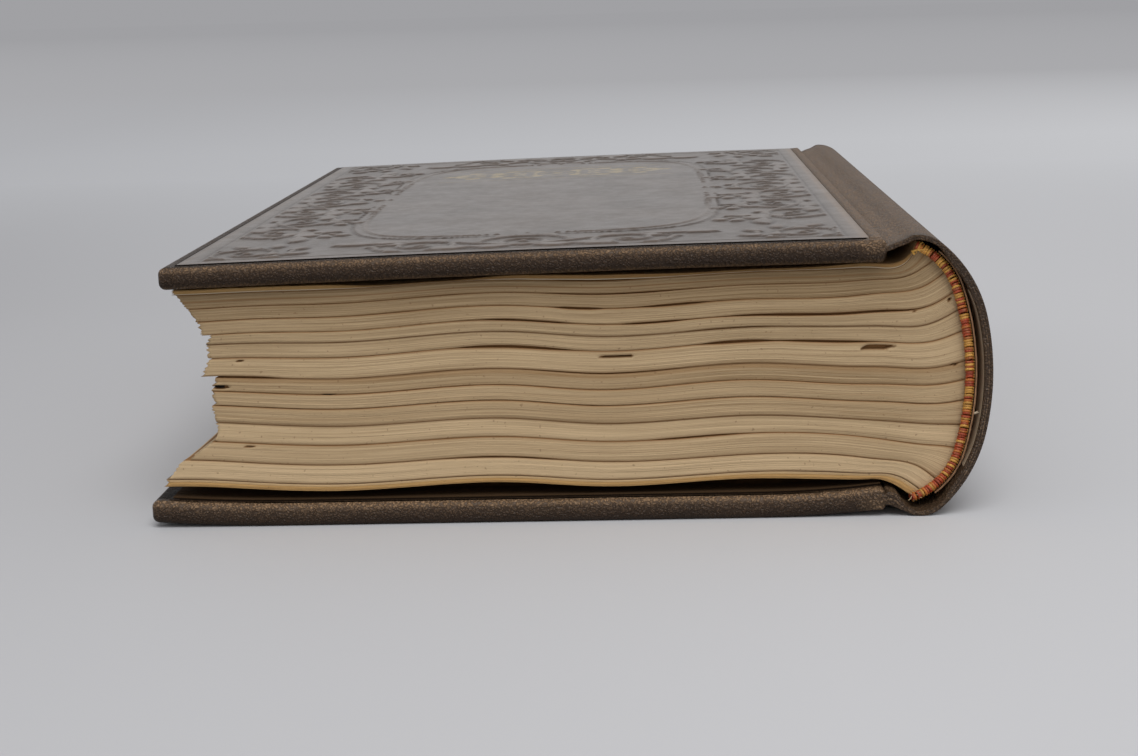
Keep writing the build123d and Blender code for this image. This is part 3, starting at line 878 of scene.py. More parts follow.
def spiral(centre, radius, first, turns, way, width=1.0, tip=0.5):
    """A stem that winds inwards from a first angle, with a round bud at its middle."""
    share = np.linspace(0, 1, 70)
    angle = math.radians(first) + way * 2 * math.pi * turns * share
    reach = radius * (1 - share) ** 0.85 + 1.0
    line = np.asarray(centre) + np.stack([np.cos(angle), np.sin(angle)], axis=1) * reach[:, None]
    parts = [stroke(line, width + (tip - width) * share), stroke([centre], 1.15)]
    for number in range(4):
        at = 6 + number * 11
        out = angle[at] + way * 0.9
        parts.append(leaf(line[at], math.degrees(out), 4.8 - 0.5 * number, 1.6, way * 45))
    return parts


def leaf(root, heading, length, width, bend):
    """A pointed leaf that curves away from its root."""
    share = np.linspace(0, 1, 12)
    angle = np.radians(heading + bend * share)
    step = length / len(share)
    line = np.asarray(root) + np.cumsum(np.stack([np.cos(angle), np.sin(angle)], axis=1) * step, axis=0)
    return stroke(line, width * np.sin(np.pi * (0.12 + 0.83 * share)) + 0.05)


def scroll_run(start, along, across, pitch, count, turn_way):
    """A waved stem with a spiral in each bend, along a straight band."""
    start, along, across = np.array(start), np.array(along), np.array(across)
    swing = 4.6
    way = np.linspace(-0.5, count - 0.5, 40 * count)
    line = start + along * (way * pitch)[:, None] + across * (swing * np.cos(np.pi * way))[:, None]
    parts = [stroke(line, 0.7)]
    base = math.degrees(math.atan2(along[1], along[0]))
    for number in range(count):
        sign = 1 if number % 2 == 0 else -1
        centre = start + along * (number * pitch) - across * (sign * 0.7)
        parts += spiral(centre, pitch * 0.40, base, 1.55, -sign * turn_way)
        outer = start + along * ((number + 0.5) * pitch) + across * (sign * 5.4)
        parts.append(leaf(outer, base + 25 * sign * turn_way, 9.0, 2.4, -50 * sign * turn_way))
        parts.append(leaf(outer, base + 180 - 25 * sign * turn_way, 9.0, 2.4, 50 * sign * turn_way))
    return parts


def border_strokes(half_u, half_v):
    """One quarter of the stamped border and of the frame round the plain middle."""
    band_u, band_v = half_u - BAND_MIDDLE, half_v - BAND_MIDDLE
    parts = []
    parts += scroll_run((0, band_v), (1, 0), (0, 1), BAND_PITCH_U, 2, 1)
    parts += scroll_run((band_u, 0), (0, 1), (1, 0), BAND_PITCH_V, 4, -1)
    parts += spiral((band_u + 1.0, band_v + 1.0), 9.0, 200, 1.9, -1, 0.95)
    for heading in range(0, 360, 40):
        root = np.array([band_u + 1.0, band_v + 1.0]) + unit(heading) * 9.2
        parts.append(leaf(root, heading + 15, 5.4, 1.7, 40))
    share = np.linspace(0, math.pi / 2, 120)
    frame_u = CARTOUCHE_HALF_U * np.cos(share) ** CARTOUCHE_POWER
    frame_v = CARTOUCHE_HALF_V * np.sin(share) ** CARTOUCHE_POWER
    for out, width in ((0.0, 0.8), (CARTOUCHE_GAP, 0.35)):
        parts.append(stroke(np.stack([frame_u + out, frame_v + out], axis=1), width))
    for place in ((CARTOUCHE_HALF_U + 3.0, 0.0), (0.0, CARTOUCHE_HALF_V + 3.0)):
        parts.append(stroke([place], 1.6))
    for mark in (0.28, 0.56, 0.84):
        place = (CARTOUCHE_HALF_U + 4.2, CARTOUCHE_HALF_V * mark)
        parts += spiral(place, 3.0, 250, 1.1, 1, 0.55, 0.35)
    return np.concatenate(parts)


def gilt_strokes():
    """One quarter of a gilt flourish: rules, a lozenge and a scroll."""
    parts = [
        stroke(np.linspace((0, 15.5), (34, 15.5), 140), 0.42),
        stroke(np.linspace((0, 13.9), (34, 13.9), 140), 0.2),
        stroke(np.linspace((0, 7.5), (5, 0), 20), 0.4),
        stroke([(0, 0)], 1.6),
    ]
    parts += spiral((12.0, 3.2), 5.2, 215, 1.4, -1, 0.6, 0.4)
    parts += spiral((23.5, 2.2), 4.0, 215, 1.3, -1, 0.55, 0.35)
    parts.append(leaf((28.0, 0.5), 0, 6.0, 1.0, 12))
    parts.append(leaf((6.0, 9.5), 20, 5.5, 0.9, -30))
    return np.concatenate(parts)


def reach_to(strokes, u, v):
    """Distance of each point to the nearest stroke's edge, less than zero inside it."""
    nearest = np.full(len(u), 1e3, np.float32)
    for first in range(0, len(u), 3000):
        part = slice(first, first + 3000)
        gap = np.hypot(u[part, None] - strokes[None, :, 0], v[part, None] - strokes[None, :, 1])
        nearest[part] = (gap - strokes[None, :, 2]).min(axis=1)
    return nearest


def panel_lines(low, high):
    """Grid lines of a panel, closer at its fillets."""
    steps = np.array(PANEL_EDGE_STEPS)
    inner = np.linspace(low + steps[-1], high - steps[-1], round((high - low) / PANEL_PITCH))
    return np.concatenate([low + steps[:-1], inner, (high - steps[:-1])[::-1]])


def panel_piece(name, cover, gilded):
    """The stamped face of a cover inside its outer fillet."""
    height, side, fore, end = cover[:4]
    xs = panel_lines(fore + FILLET_INSET, end - FILLET_INSET)
    ys = panel_lines(FILLET_INSET, COVER_HEIGHT - FILLET_INSET)
    x, y = [part.ravel() for part in np.meshgrid(xs, ys)]
    half_u, half_v = (xs[-1] - xs[0]) / 2, (ys[-1] - ys[0]) / 2
    v = y - COVER_HEIGHT / 2
    u, far_v = abs(x - (xs[0] + xs[-1]) / 2), abs(v)
    from_edge = np.minimum(half_u - u, half_v - far_v)
    near = (u > CARTOUCHE_HALF_U - 6) | (far_v > CARTOUCHE_HALF_V - 10) | ((u > 26) & (far_v > 60))
    reach = np.full(len(x), 9.0)
    reach[near] = reach_to(border_strokes(half_u, half_v), u[near], far_v[near])
    ornament_end = SECOND_LINE + LINE_ROOM
    reach = np.maximum(reach, (ornament_end - from_edge) * 2.0)
    raised = 1 - (1 - ramp(-reach, 0, 0.55)) ** 2
    power = 2 / CARTOUCHE_POWER
    across = (u / (CARTOUCHE_HALF_U + CARTOUCHE_GAP)) ** power
    along = (far_v / (CARTOUCHE_HALF_V + CARTOUCHE_GAP)) ** power
    in_band = (across + along > 1) & (from_edge > ornament_end)
    sunk_ground_and_shade = in_band * ramp(reach, 0, 0.3)
    second = bell(from_edge, SECOND_LINE, 0.4)
    rise = RELIEF_HEIGHT * raised - GROUND_DEPTH * sunk_ground_and_shade - 0.15 * second
    rise -= FILLET_DEPTH * (1 - ramp(from_edge, 0, 0.22))
    gilt = np.zeros(len(x))
    if gilded:
        place = (u < 40) & (abs(v - GILT_MIDDLE_V) < 20)
        flourish = reach_to(gilt_strokes(), u[place], abs(v[place] - GILT_MIDDLE_V))
        gilt[place] = ramp(-flourish, 0, 0.25)
        rise -= 0.06 * gilt
    rise += 0.03 * wobble(x, (61.0, 23.0))[0] * wobble(y, (83.0, 37.0))[0]
    sink = 0 if side > 0 else RELIEF_HEIGHT + 0.03
    points = xyz(x, y, height(x) + side * (rise - sink))
    rub = 0.08 + 0.08 * raised + 0.2 * bell(from_edge, 1.4, 0.5) + 0.7 * bell(x, end - 2.0, 2.4)
    at_hinge = end - x < FILLET_INSET + 0.9
    # Painted shade: dark outlines round the stamped ornament, in the second stamped line and on the
    # fillet's wall, a little over the sunk ground
    dark = 0.04 * sunk_ground_and_shade + 0.42 * bell(reach, 0.25, 0.4) * in_band + 0.35 * second
    dark += (from_edge < 0.4) * np.where(at_hinge, 0.25, 1.0)
    looks = {
        "grain": 0.10 + 0.03 * sunk_ground_and_shade + 0.3 * np.exp(-from_edge / 1.5),
        "wear_and_highlight": np.clip(rub, 0, 1),
        "sunk_ground_and_shade": np.clip(dark, 0, 1),
        "gilt": gilt,
    }
    return make_piece(name, points, grid_faces(len(ys), len(xs)), leather, looks)


front_panel = panel_piece("front_panel_leather", front_cover, True)
back_panel = panel_piece("back_panel_leather", back_cover, False)
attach(front_panel, "front_cover")
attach(back_panel, "back_cover")


# Text block


foot_z = SPINE_LEATHER + FOOT_CLEARANCE
tip_z = SPINE_HEIGHT - SPINE_LEATHER - SHOULDER_CLEARANCE
block_arcs = scaled_arcs(BLOCK_ARC_SHARES, BLOCK_FOOT_HEADING, tip_z - foot_z)
plain_back = trace((0, foot_z), BLOCK_FOOT_HEADING, block_arcs, BACK_PITCH)[0]
block_apex = spine_reach - SPINE_LEATHER - SPINE_CARD - HOLLOW - LINING_FACE - CAD_LINING_THICKNESS
block_foot = np.array([block_apex - plain_back[:, 0].max(), foot_z])
block_back = trace(block_foot, BLOCK_FOOT_HEADING, block_arcs, BACK_PITCH)[0]


def back_x(z):
    return np.interp(z, block_back[:, 1], block_back[:, 0])


def seat_on_back(share):
    """Point of the rounded back at a share of its height."""
    z = foot_z + share * (tip_z - foot_z)
    return np.array([back_x(z), z])


def leaf_height(share, fore_level, spine_level):
    """Height of a fold where it crosses a share of the leaf's width, and its level in the block."""
    first, last = COCKLE_SHARES[0][0], COCKLE_SHARES[-1][0]
    way = min(1.0, (share - first) / (last - first))
    fall = FRONT_DROP * (front_end - share * block_foot[0]) / FRONT_COVER_WIDTH
    top = front_hinge[1] - fall - COVER_BUILD - FRONT_LEAF_ROOM
    bottom = COVER_BUILD + BACK_FORE_GAP + way * (BACK_SPINE_GAP - BACK_FORE_GAP)
    level = fore_level + way * (spine_level - fore_level)
    return bottom + level * (top - bottom), level


def smooth_curve(points, count):
    """Natural cubic spline through points, sampled evenly along their chords."""
    points = np.array(points)
    knots = lengths(points)
    spans = np.diff(knots)
    size = len(points)
    matrix, right = np.eye(size), np.zeros((size, 2))
    slopes = np.diff(points, axis=0) / spans[:, None]
    for number in range(1, size - 1):
        before, after = spans[number - 1], spans[number]
        matrix[number, number - 1 : number + 2] = before, 2 * (before + after), after
        right[number] = 6 * (slopes[number] - slopes[number - 1])
    second = np.linalg.solve(matrix, right)
    place = np.linspace(0, knots[-1], count)
    at = np.clip(np.searchsorted(knots, place, side="right") - 1, 0, size - 2)
    left = ((knots[at + 1] - place) / spans[at])[:, None]
    rest = 1 - left
    bend = (left**3 - left) * second[at] + (rest**3 - rest) * second[at + 1]
    return left * points[at] + rest * points[at + 1] + bend * (spans[at] ** 2 / 6)[:, None]


def fold_curve(row):
    """Curve of a fold between gatherings, from past the fore-edge to past the rounded back."""
    fore_level, spine_level, seat_share, swung_share, rise = row
    points = []
    for share, *waves in COCKLE_SHARES:
        height, level = leaf_height(share, fore_level, spine_level)
        wave = np.interp(level, COCKLE_LEVEL_SHARES, waves)
        points.append(np.array([share * block_foot[0], height + wave]))
    seat = seat_on_back(seat_share)
    knee = np.array([seat[0] - swung_share * FORE_ROUND, points[-1][1] + rise])
    swing = (seat - knee) / np.hypot(*(seat - knee))
    bend = knee - np.array([KNEE_ROUND, 0])
    points.append((points[-1] + bend) / 2)
    points += [bend, knee + swing * KNEE_ROUND, seat, seat + swing * KNEE_ROUND]
    points.insert(0, np.array([-OVERRUN, points[0][1]]))
    return smooth_curve(points, CURVE_SAMPLES)


def cut_leaf(line, fore, columns):
    """The part of a leaf's curve between the fore-edge and the rounded back, evenly spaced."""
    reach = lengths(line)
    start = np.interp(fore, line[:, 0], reach)
    over = line[:, 0] - back_x(line[:, 1])
    first_out = np.argmax((over > 0) & (line[:, 0] > block_foot[0] / 2))
    inside, outside = over[first_out - 1], over[first_out]
    stop = np.interp(0, [inside, outside], [reach[first_out - 1], reach[first_out]])
    places = np.linspace(start, stop, columns)
    return at_lengths(line, reach, places)


def fore_x(share):
    return FORE_INSET + share * FORE_ROUND


def gathering_rows(top, bottom, fore, shares, columns):
    """Leaf curves of a gathering at shares of its thickness, cut at the fore-edge and the back."""
    rows = []
    for share in shares:
        line = top * (1 - share) + bottom * share
        edge = fore_x(fore[0] + (fore[1] - fore[0]) * share)
        rows.append(cut_leaf(line, edge + rng.uniform(-FORE_JITTER, FORE_JITTER), columns))
    return np.array(rows)


def tear_marks(x, z):
    """How far the head face is torn back at each point, and how dark it is there with painted shade inside
    the tear.
    """
    depth = np.zeros_like(x)
    dark = np.zeros_like(x)
    for middle_x, middle_z, half_x, half_z, deep in TEARS:
        reach = ((x - middle_x) / half_x) ** 2 + ((z - middle_z) / half_z) ** 2
        mark = np.clip(2.5 * (1.3 - reach), 0, 1)
        depth = np.maximum(depth, deep * mark)
        # Painted shade inside the tear
        dark = np.maximum(dark, 1.7 * mark)
    return depth, dark


def hollow(way):
    """How far back the fore-edge lies at a share of the way from head to tail."""
    return FORE_HOLLOW * (1 - (2 * way - 1) ** 6)


def stack(top, bottom, fore, stagger, tone, stain, number):
    """Grid of one gathering's head, fore-edge and tail faces, with returns into the folds."""
    shares = np.array(ROW_SHARES)
    rows = len(shares)
    head_rows = gathering_rows(top, bottom, fore, shares, HEAD_COLUMNS)
    tail_rows = gathering_rows(top, bottom, fore, shares, TAIL_COLUMNS)
    row_step = rng.uniform(-END_JITTER, END_JITTER, rows)
    fold_round = FOLD_ROUND * (np.exp(-shares / FOLD_SHARE) + np.exp(-(1 - shares) / FOLD_SHARE))
    set_in = (fold_round + row_step)[:, None]
    head_line = np.linspace(0, EDGE_LENGTH, HEAD_COLUMNS)
    tail_line = np.linspace(0, EDGE_LENGTH, TAIL_COLUMNS)
    head_y = SQUARE + stagger + set_in + END_SWING * wobble(head_line, END_WAVES, rows)
    tail_y = COVER_HEIGHT - SQUARE - LEAF_STAGGER + stagger
    tail_y = tail_y - set_in - END_SWING * wobble(tail_line, END_WAVES, rows)
    depth, tear_shade = tear_marks(head_rows[:, :, 0], head_rows[:, :, 1])
    head = xyz(head_rows[:, :, 0], head_y + depth, head_rows[:, :, 1])[:, ::-1]
    tail = xyz(tail_rows[:, :, 0], tail_y, tail_rows[:, :, 1])
    way = np.linspace(0, 1, FORE_COLUMNS + 2)[1:-1]
    run = way * COVER_HEIGHT
    start, stop = head[:, -1], tail[:, 0]
    edge = start[:, None] * (1 - way)[None, :, None] + stop[:, None] * way[None, :, None]
    edge[:, :, 0] += fold_round[:, None] + FORE_SWING * wobble(run, FORE_WAVES, rows) + hollow(way)
    grid = np.concatenate([head, edge, tail], axis=1)
    inward = np.zeros((1, grid.shape[1], 3))
    inward[0, :HEAD_COLUMNS, 1] = RETURN_DEPTH
    inward[0, HEAD_COLUMNS - 1 : -TAIL_COLUMNS + 1, 0] = RETURN_DEPTH
    inward[0, -TAIL_COLUMNS:, 1] = -RETURN_DEPTH
    grid = np.concatenate([grid[:1] + inward, grid, grid[-1:] + inward])
    size = grid.shape[:2]
    run = np.concatenate([head_line[::-1], 200 + run, 500 + tail_line])
    share = np.concatenate([[-0.06], shares, [1.06]])
    leaves_down = (number + share) * LEAVES_IN_GATHERING
    from_fold = np.clip(np.minimum(share, 1 - share), 0, 1)
    # Darkness at the folds: partly their own brown, partly painted shade in the gaps between gatherings
    dark = np.broadcast_to(np.exp(-from_fold / 0.028)[:, None], size).copy()
    dark[1:-1, :HEAD_COLUMNS] = np.maximum(dark[1:-1, :HEAD_COLUMNS], tear_shade[:, ::-1])
    reach_x = grid[:, :, 0]
    looks = {
        "leaf": xyz(run, leaves_down[:, None], 0.0),
        "tone": tone - 0.15 * ramp(reach_x, 90, 40) + 0.2 * ramp(reach_x, 159, 8),
        "dark": dark,
        "stain": np.broadcast_to((stain + 0.5 * np.exp(-from_fold / 0.06))[:, None], size),
    }
    return grid, looks


gap_line = np.linspace(-OVERRUN, 190, 200)
gap_swings = np.clip(0.10 * wobble(gap_line, (60.0, 27.0, 11.0), len(FOLD_SHARES)), 0.0, 0.05)


def parted(curve, fold, way):
    """A fold's curve, moved away from its neighbour where the two gatherings part."""
    curve = curve.copy()
    opening = np.interp(curve[:, 0], gap_line, gap_swings[fold])
    for number, middle, half, height in PARTINGS:
        if number == fold:
            opening = opening + height * bell(curve[:, 0], middle, half, 4)
    curve[:, 1] += way * opening / 2
    return curve


grid_shares = np.concatenate([[0], ROW_SHARES, [1]])


def text_block():
    """The twelve gatherings, and a sheet behind their folds in the fold colour, painted shade for the
    inside of the block.
    """
    parts = Parts()
    for number, (upper, lower, stagger, tone, stain) in enumerate(GATHERINGS):
        top = parted(fold_curve(FOLD_SHARES[number]), number, -1)
        bottom = parted(fold_curve(FOLD_SHARES[number + 1]), number + 1, 1)
        grid, look = stack(top, bottom, (upper, lower), stagger * LEAF_STAGGER, tone, stain, number)
        for marked, key, middle, half, amount in BANDS:
            if number == marked:
                look[key] = look[key] + amount * bell(grid_shares, middle, half, 4)[:, None]
        parts.add_grid(grid, look)
    behind = max(max(row[:2]) for row in GATHERINGS) + 0.1
    core = np.array([cut_leaf(fold_curve(row), fore_x(behind), 60) for row in FOLD_SHARES[:-1]])
    head = SQUARE + RETURN_DEPTH - 0.2
    core = np.insert(core, 1, head, axis=-1)
    tail = core.copy()
    tail[:, :, 1] = COVER_HEIGHT - head
    grid = np.concatenate([core[:, ::-1], tail], axis=1)
    flat = np.zeros(grid.shape[:2])
    # The sheet behind the folds takes the fold colour all over, as painted shade
    parts.add_grid(grid, {"leaf": grid, "tone": flat, "dark": flat + 1, "stain": flat})
    return parts.piece("leaves", page_edges, "paper")


def flyleaf(name, top, bottom, fore, upper):
    """A few endpaper leaves: their edges and the one face that shows when a cover opens."""
    grid, look = stack(top, bottom, fore, 0.1, 0.15, 0.0, 20)
    if upper:
        stained = 0.95 * (grid_shares > 0.74)
        look["dark"] = look["dark"] * 0.0
        # Painted shade: the upper flyleaves' edge darker from 35 mm on, where it lies under the front board
        look["tone"] = look["tone"] - 1.2 * ramp(grid[:, :, 0], 35, 25)
    else:
        stained = 0.35 * (grid_shares < 0.3)
        look["tone"] = look["tone"] - 0.3
    look["stain"] = np.broadcast_to(stained[:, None], grid.shape[:2])
    line = cut_leaf(top if upper else bottom, fore_x(fore[0 if upper else 1]), FACE_COLUMNS)
    x, z = line.T
    lines = np.linspace(SQUARE + 0.35, COVER_HEIGHT - SQUARE - 0.35, FACE_ROWS)
    set_back = hollow(np.linspace(0, 1, FACE_ROWS))
    face = xyz(x + set_back[:, None] * (1 - ramp(x, x.min(), 30)), lines[:, None], z)
    flat = np.zeros(face.shape[:2])
    parts = Parts()
    parts.add_grid(grid, look)
    parts.add_grid(face, {"leaf": face * 0.012, "tone": flat - 0.25, "dark": flat, "stain": flat + 0.15})
    return parts.piece(name, endpaper_edges, "endpaper")


leaves = text_block()
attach(leaves, "book_block")
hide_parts("text_block")

fly_low = parted(fold_curve(FOLD_SHARES[0]), 0, 1)
dips = 0.75 * bell(fly_low[:, 0], 60, 16, 4) + 0.5 * bell(fly_low[:, 0], 129, 19, 4)
fly_high = fly_low + np.stack([np.zeros(len(fly_low)), FLYLEAF_THICKNESS * (1 - dips)], axis=1)
front_flyleaves = flyleaf("front_flyleaves", fly_high, fly_low, (0.36, 0.36), True)
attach(front_flyleaves, "book_block")
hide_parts("front_flyleaf")
last_high, last_low = fold_curve(FOLD_SHARES[-2]), fold_curve(FOLD_SHARES[-1])
back_flyleaves = flyleaf("back_flyleaves", last_high, last_low, (0.06, 0.0), False)
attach(back_flyleaves, "book_block")
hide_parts("back_flyleaf")


# Spine lining, endbands and hidden pieces


def spine_lining():
    """A thin closed strip of paper over the back's glue, torn ragged at head and tail."""
    pitch = 0.35
    first, *middle, last = block_arcs
    start = trace(block_foot, BLOCK_FOOT_HEADING, [(first[0], LINING_END_ANGLE)], BACK_PITCH)[0][-1]
    arcs = [(first[0], first[1] - LINING_END_ANGLE), *middle, (last[0], last[1] - LINING_END_ANGLE)]
    path, normals = trace(start, BLOCK_FOOT_HEADING + LINING_END_ANGLE, arcs, pitch)
    ragged = 0.28 * wobble(np.arange(len(path)) * pitch, (9.0, 4.0, 1.7))[0]
    low = SQUARE - LINING_MARGIN + ragged
    high = COVER_HEIGHT - SQUARE + LINING_MARGIN - ragged
    share = np.linspace(0, 1, 12)[:, None]
    layers = []
    for depth in (LINING_FACE, LINING_FACE + LINING_THICKNESS):
        x, z = (path - normals * depth).T
        layers.append(xyz(x, low * (1 - share) + high * share, z))
    ring = np.concatenate([layers[0], layers[1][::-1], layers[0][:1]])
    parts = Parts()
    parts.add_grid(ring, {})
    return parts.piece("spine_lining_paper", lining_paper, "lining")


lining = spine_lining()
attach(lining, "book_block")
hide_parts("spine_lining")


def repeated(faces, count, step):
    """The same faces over and over, on points that lie a step further on each time."""
    return (np.array(faces) + np.arange(count)[:, None, None] * step).reshape(-1, 4)


def beads(centre, normal, y):
    """A row of small knots along the outer side of an endband, one beside every turn."""
    outer_side = centre - normal * (ENDBAND_RADIUS - ENDBAND_SEAT + 0.1)
    tall = np.radians(np.linspace(-90, 90, 7))[:, None]
    around = np.radians(np.linspace(0, 360, 9)[:-1])
    girth = KNOT_RADIUS * np.cos(tall)
    knot = xyz(girth * np.cos(around), KNOT_HALF_HEIGHT * np.sin(tall), girth * np.sin(around))
    places = np.insert(outer_side, 1, y, axis=1)
    points = (places[:, None] + knot.reshape(1, -1, 3)).reshape(-1, 3)
    return points, repeated(grid_faces(len(tall), len(around), wrap=True), len(centre), knot.size // 3)


def thread(line, radius):
    """A thin round thread along a line of points."""
    along = np.gradient(line, axis=0)
    along /= np.linalg.norm(along, axis=1)[:, None]
    side = np.cross(along, (0.3, 0.8, 0.5))
    side /= np.linalg.norm(side, axis=1)[:, None]
    other = np.cross(along, side)
    turns = [unit(angle) for angle in np.linspace(0, 360, 7)[:-1]]
    rings = [line + (side * across + other * up) * radius for across, up in turns]
    return np.stack(rings, axis=1).reshape(-1, 3), grid_faces(len(line), len(turns), wrap=True)


def add_dyed(parts, made, dye):
    """Add points and faces of silk, in one dye or in a dye for each point."""
    points, faces = made
    parts.add(points, faces, {"silk": np.broadcast_to(dye, points.shape)})


def add_loose_threads(parts, centre, normal, face_y, outward, random):
    """Frayed ends at both ends of an endband, a loop that slipped at the upper one, a fleck of glue."""
    centre, normal = np.insert(centre, 1, face_y, axis=1), np.insert(normal, 1, 0, axis=1)
    out = np.array([0, outward, 0])
    share = np.linspace(0, 1, 9)[:, None]
    for end, step, count, dye in ((0, 1, 9, LOOSE_PALE), (-1, -1, 8, LOOSE_AMBER)):
        for _ in range(count):
            place = end + step * int(random.integers(0, 4))
            away = np.array([random.uniform(-0.9, 0.9), 0.0, random.uniform(-0.9, 0.9)])
            away[1] = outward * random.uniform(0.2, 0.9)
            root = centre[place] + out * 1.3 + normal[place] * random.uniform(0.0, 0.7)
            sag = np.array([random.uniform(-0.5, 0.5), 0, random.uniform(-0.5, 0.5)])
            line = root + away * share * LOOSE_LENGTH + sag * share * (1 - share) * 2.0
            add_dyed(parts, thread(line, LOOSE_RADIUS), dye * random.uniform(0.7, 1.1))
    turn = np.linspace(0, 1.25 * math.pi, 14)
    middle = centre[-3] + normal[-3] * 0.9 + out * 1.35
    loop = middle + xyz(1.5 * np.cos(turn), outward * 0.2 * np.sin(turn), 0.55 * np.sin(turn))
    add_dyed(parts, thread(loop, 0.24), LOOSE_AMBER)
    place = int(0.36 * len(centre))
    root = centre[place] + out * 0.9 - normal[place] * np.array([1.7, 0, 0])
    add_dyed(parts, thread(root + np.array([0.7, outward * 0.5, 0.35]) * share, 0.26), GLUE)


def endband(name, face_y, outward, seed):
    """Silk thread wound in two colours over a cord, every turn a ring of its own."""
    random = np.random.default_rng(seed)
    path, normals = trace(block_foot, BLOCK_FOOT_HEADING, block_arcs, 0.05)
    path = path + normals * (ENDBAND_RADIUS - ENDBAND_SEAT)
    reach = lengths(path)
    count = int(reach[-1] / TURN_PITCH)
    places = (np.arange(count) + 0.5) * TURN_PITCH + random.uniform(-TURN_SHIFT, TURN_SHIFT, count)
    centre, normal = at_lengths(path, reach, places), at_lengths(normals, reach, places)
    around = np.linspace(0, 2 * math.pi, 15)[None, :-1, None]
    across = np.linspace(0, 2 * math.pi, 7)[None, None, :-1]
    swell = random.uniform(*TURN_SWELL, count)[:, None, None]
    lean = TURN_LEAN + random.uniform(-LEAN_SPREAD, LEAN_SPREAD, count)[:, None, None]
    from_cord = (ENDBAND_RADIUS - TURN_RADIUS * 0.6 + swell) + TURN_RADIUS * np.cos(across)
    out = from_cord * np.cos(around)
    shift = TURN_RADIUS * np.sin(across) + lean * np.sin(around)
    middle_x, middle_z = centre.T[:, :, None, None]
    normal_x, normal_z = normal.T[:, :, None, None]
    points = xyz(
        middle_x + normal_x * out + normal_z * shift,
        face_y + outward * (ENDBAND_RADIUS + from_cord * np.sin(around)),
        middle_z + normal_z * out - normal_x * shift,
    )
    ring = around.size * across.size
    one_turn = np.array(grid_faces(around.size + 1, across.size, wrap=True)) % ring
    dyes = []
    for turn in range(count):
        amber = random.random() < 0.2 + 0.35 * turn / count
        dyes.append((AMBER if amber else (RED, RUST, RED, RED)[turn % 4]) * random.uniform(0.7, 1.15))
    parts = Parts()
    add_dyed(parts, (points.reshape(-1, 3), repeated(one_turn, count, ring)), np.repeat(dyes, ring, axis=0))
    add_loose_threads(parts, centre, normal, face_y, outward, random)
    knots = beads(centre, normal, face_y + outward * ENDBAND_RADIUS)
    add_dyed(parts, knots, AMBER * 0.9 * random.uniform(0.6, 1.1, (len(knots[0]), 1)))
    piece = parts.piece(name, silk, "silk")
    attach(piece, "book_block")
    return piece


head_silk = endband("headband_silk", SQUARE, -1, 3)
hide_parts("headband")
tail_silk = endband("tailband_silk", COVER_HEIGHT - SQUARE, 1, 5)
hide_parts("tailband")

hidden = [(node, board_pulp) for node in ("front_board", "back_board", "spine_card")]
hidden += [(node, endpaper) for node in ("front_pastedown", "back_pastedown")]
hidden += [("mull", mull_cloth)]
hidden += [(f"sewing_tape_{number}", tape_linen) for number in (1, 2, 3, 4)]
for node, material in hidden:
    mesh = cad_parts[node].data
    mesh.materials.clear()
    mesh.materials.append(material)


# Floor, light and camera


FLOOR_REACH = 9.0
# The photograph's camera, in the drawing's millimetres, degrees and the photograph's pixels
CAMERA_PLACE = (109.13, -396.0, 111.18)
CAMERA_PITCH = 11.38
CAMERA_YAW = 2.64
CAMERA_ROLL = -1.66
CAMERA_FOCUS = 1922.0
FRAME_WIDTH = 1138.0
SENSOR = 36.0
# Greys of the floor's left and right side, the left one darker as painted shade: where the lamp lights it,
# and where it glows as a painted background behind the book
LIT_GREYS = ((0.43, 0.43, 0.443), (0.585, 0.586, 0.60))
GLOW_GREYS = ((0.43, 0.435, 0.455), (0.56, 0.565, 0.585))


def seen_directly(shader):
    """1 for what the camera, a reflection or a clear piece shows, 0 for the light that it gives."""
    path = shader.node("LightPath")
    seen = shader.math("MAXIMUM", path.outputs["Is Camera Ray"], path.outputs["Is Glossy Ray"])
    return shader.math("MAXIMUM", seen, path.outputs["Is Transmission Ray"])


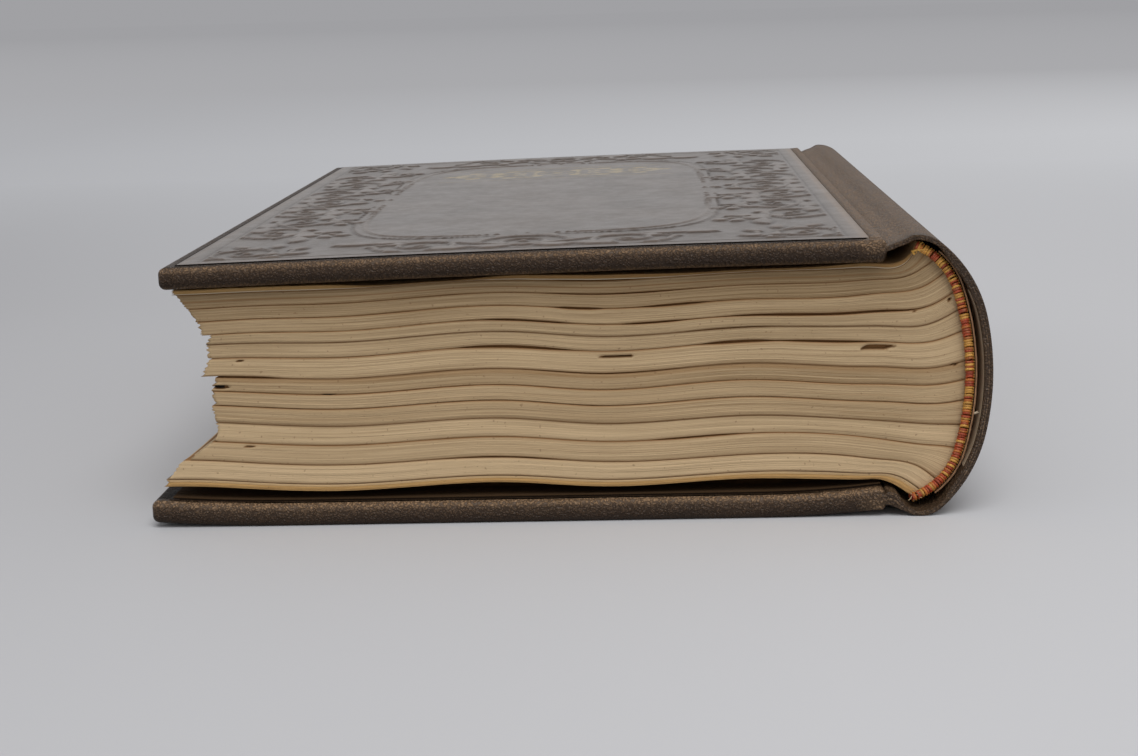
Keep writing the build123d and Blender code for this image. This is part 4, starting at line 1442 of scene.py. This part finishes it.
def floor_piece():
    """A pale floor, painted darker towards its left as shade, that runs out into a soft background painted
    as a glow that fades with distance, and is clear from below.
    """
    shader = Shader("studio_floor")
    place = shader.apart()
    across, far = place["X"], place["Y"]
    # Painted shade: the floor darker towards its left side
    lit_tone = shader.mix(shader.spread(across, -0.3, 0.05), *LIT_GREYS)
    shader.set(shader.surface, Base_Color=lit_tone, Roughness=0.7, Specular_IOR_Level=0.2)
    # Painted light: the background glows, darker to the left and fading with distance
    tone = shader.mix(shader.spread(across, -0.5, 0.4), *GLOW_GREYS)
    tone = shader.mix(shader.spread(far, 0.9, 1.9), tone, (0.40, 0.40, 0.415))
    tone = shader.mix(shader.spread(far, 1.9, 6.0), tone, (0.35, 0.35, 0.365))
    glow = shader.node("Emission", Strength=1.0, Color=tone)
    away = shader.times(shader.spread(far, 0.2, 0.7), seen_directly(shader))
    below = shader.node("NewGeometry").outputs["Backfacing"]
    surface = shader.surface
    for share, second in ((away, glow), (below, shader.node("BsdfTransparent"))):
        both = shader.node("MixShader", Fac=share)
        shader.put(both, 1, surface.outputs[0])
        shader.put(both, 2, second.outputs[0])
        surface = both
    shader.put(shader.tree.nodes["Material Output"], "Surface", surface.outputs[0])
    mesh = bpy.data.meshes.new("floor")
    corners = [(-1, -1, 0), (1, -1, 0), (1, 1, 0), (-1, 1, 0)]
    mesh.from_pydata((np.array(corners) * FLOOR_REACH).tolist(), [], [(0, 1, 2, 3)])
    mesh.materials.append(shader.material)
    add_to_scene("floor", mesh)


def lamp(name, place, size, power):
    """A round lamp that points at the book."""
    light = bpy.data.lights.new(name, "AREA")
    light.shape = "DISK"
    light.size = size
    light.energy = power
    item = add_to_scene(name, light)
    item.location = place
    item.rotation_euler = (-Vector(place)).to_track_quat("-Z", "Y").to_euler()


def set_camera():
    """The photograph's camera: before the head, a little above the book."""
    camera = bpy.data.cameras.new("camera")
    camera.sensor_fit = "HORIZONTAL"
    camera.sensor_width = SENSOR
    camera.lens = CAMERA_FOCUS * SENSOR / FRAME_WIDTH
    camera.clip_start = 0.02
    place = Matrix.Translation(to_row(CAMERA_PLACE))
    for angle, axis in ((CAMERA_YAW, "Z"), (90 - CAMERA_PITCH, "X"), (CAMERA_ROLL, "Z")):
        place = place @ Matrix.Rotation(math.radians(angle), 4, axis)
    item = add_to_scene("camera", camera)
    item.matrix_world = place
    bpy.context.scene.camera = item


def set_world():
    """Even studio light: a calm grey at the floor's end, lighter above it."""
    world = bpy.data.worlds.new("studio")
    nodes = Nodes(world)
    rise = nodes.node("SeparateXYZ", Vector=nodes.node("TexCoord").outputs["Generated"]).outputs["Z"]
    tone = nodes.mix(nodes.spread(rise, 0.02, 0.12), (0.355, 0.355, 0.37), (0.60, 0.60, 0.61))
    tone = nodes.mix(nodes.spread(rise, 0.25, 0.6), tone, (0.44, 0.44, 0.45))
    nodes.put(nodes.tree.nodes["Background"], "Color", tone)
    bpy.context.scene.world = world


floor_piece()
lamp("soft_top", (0.3, -1.4, 2.25), 2.0, 44.0)
set_camera()
set_world()
bpy.context.scene.view_settings.view_transform = "Standard"
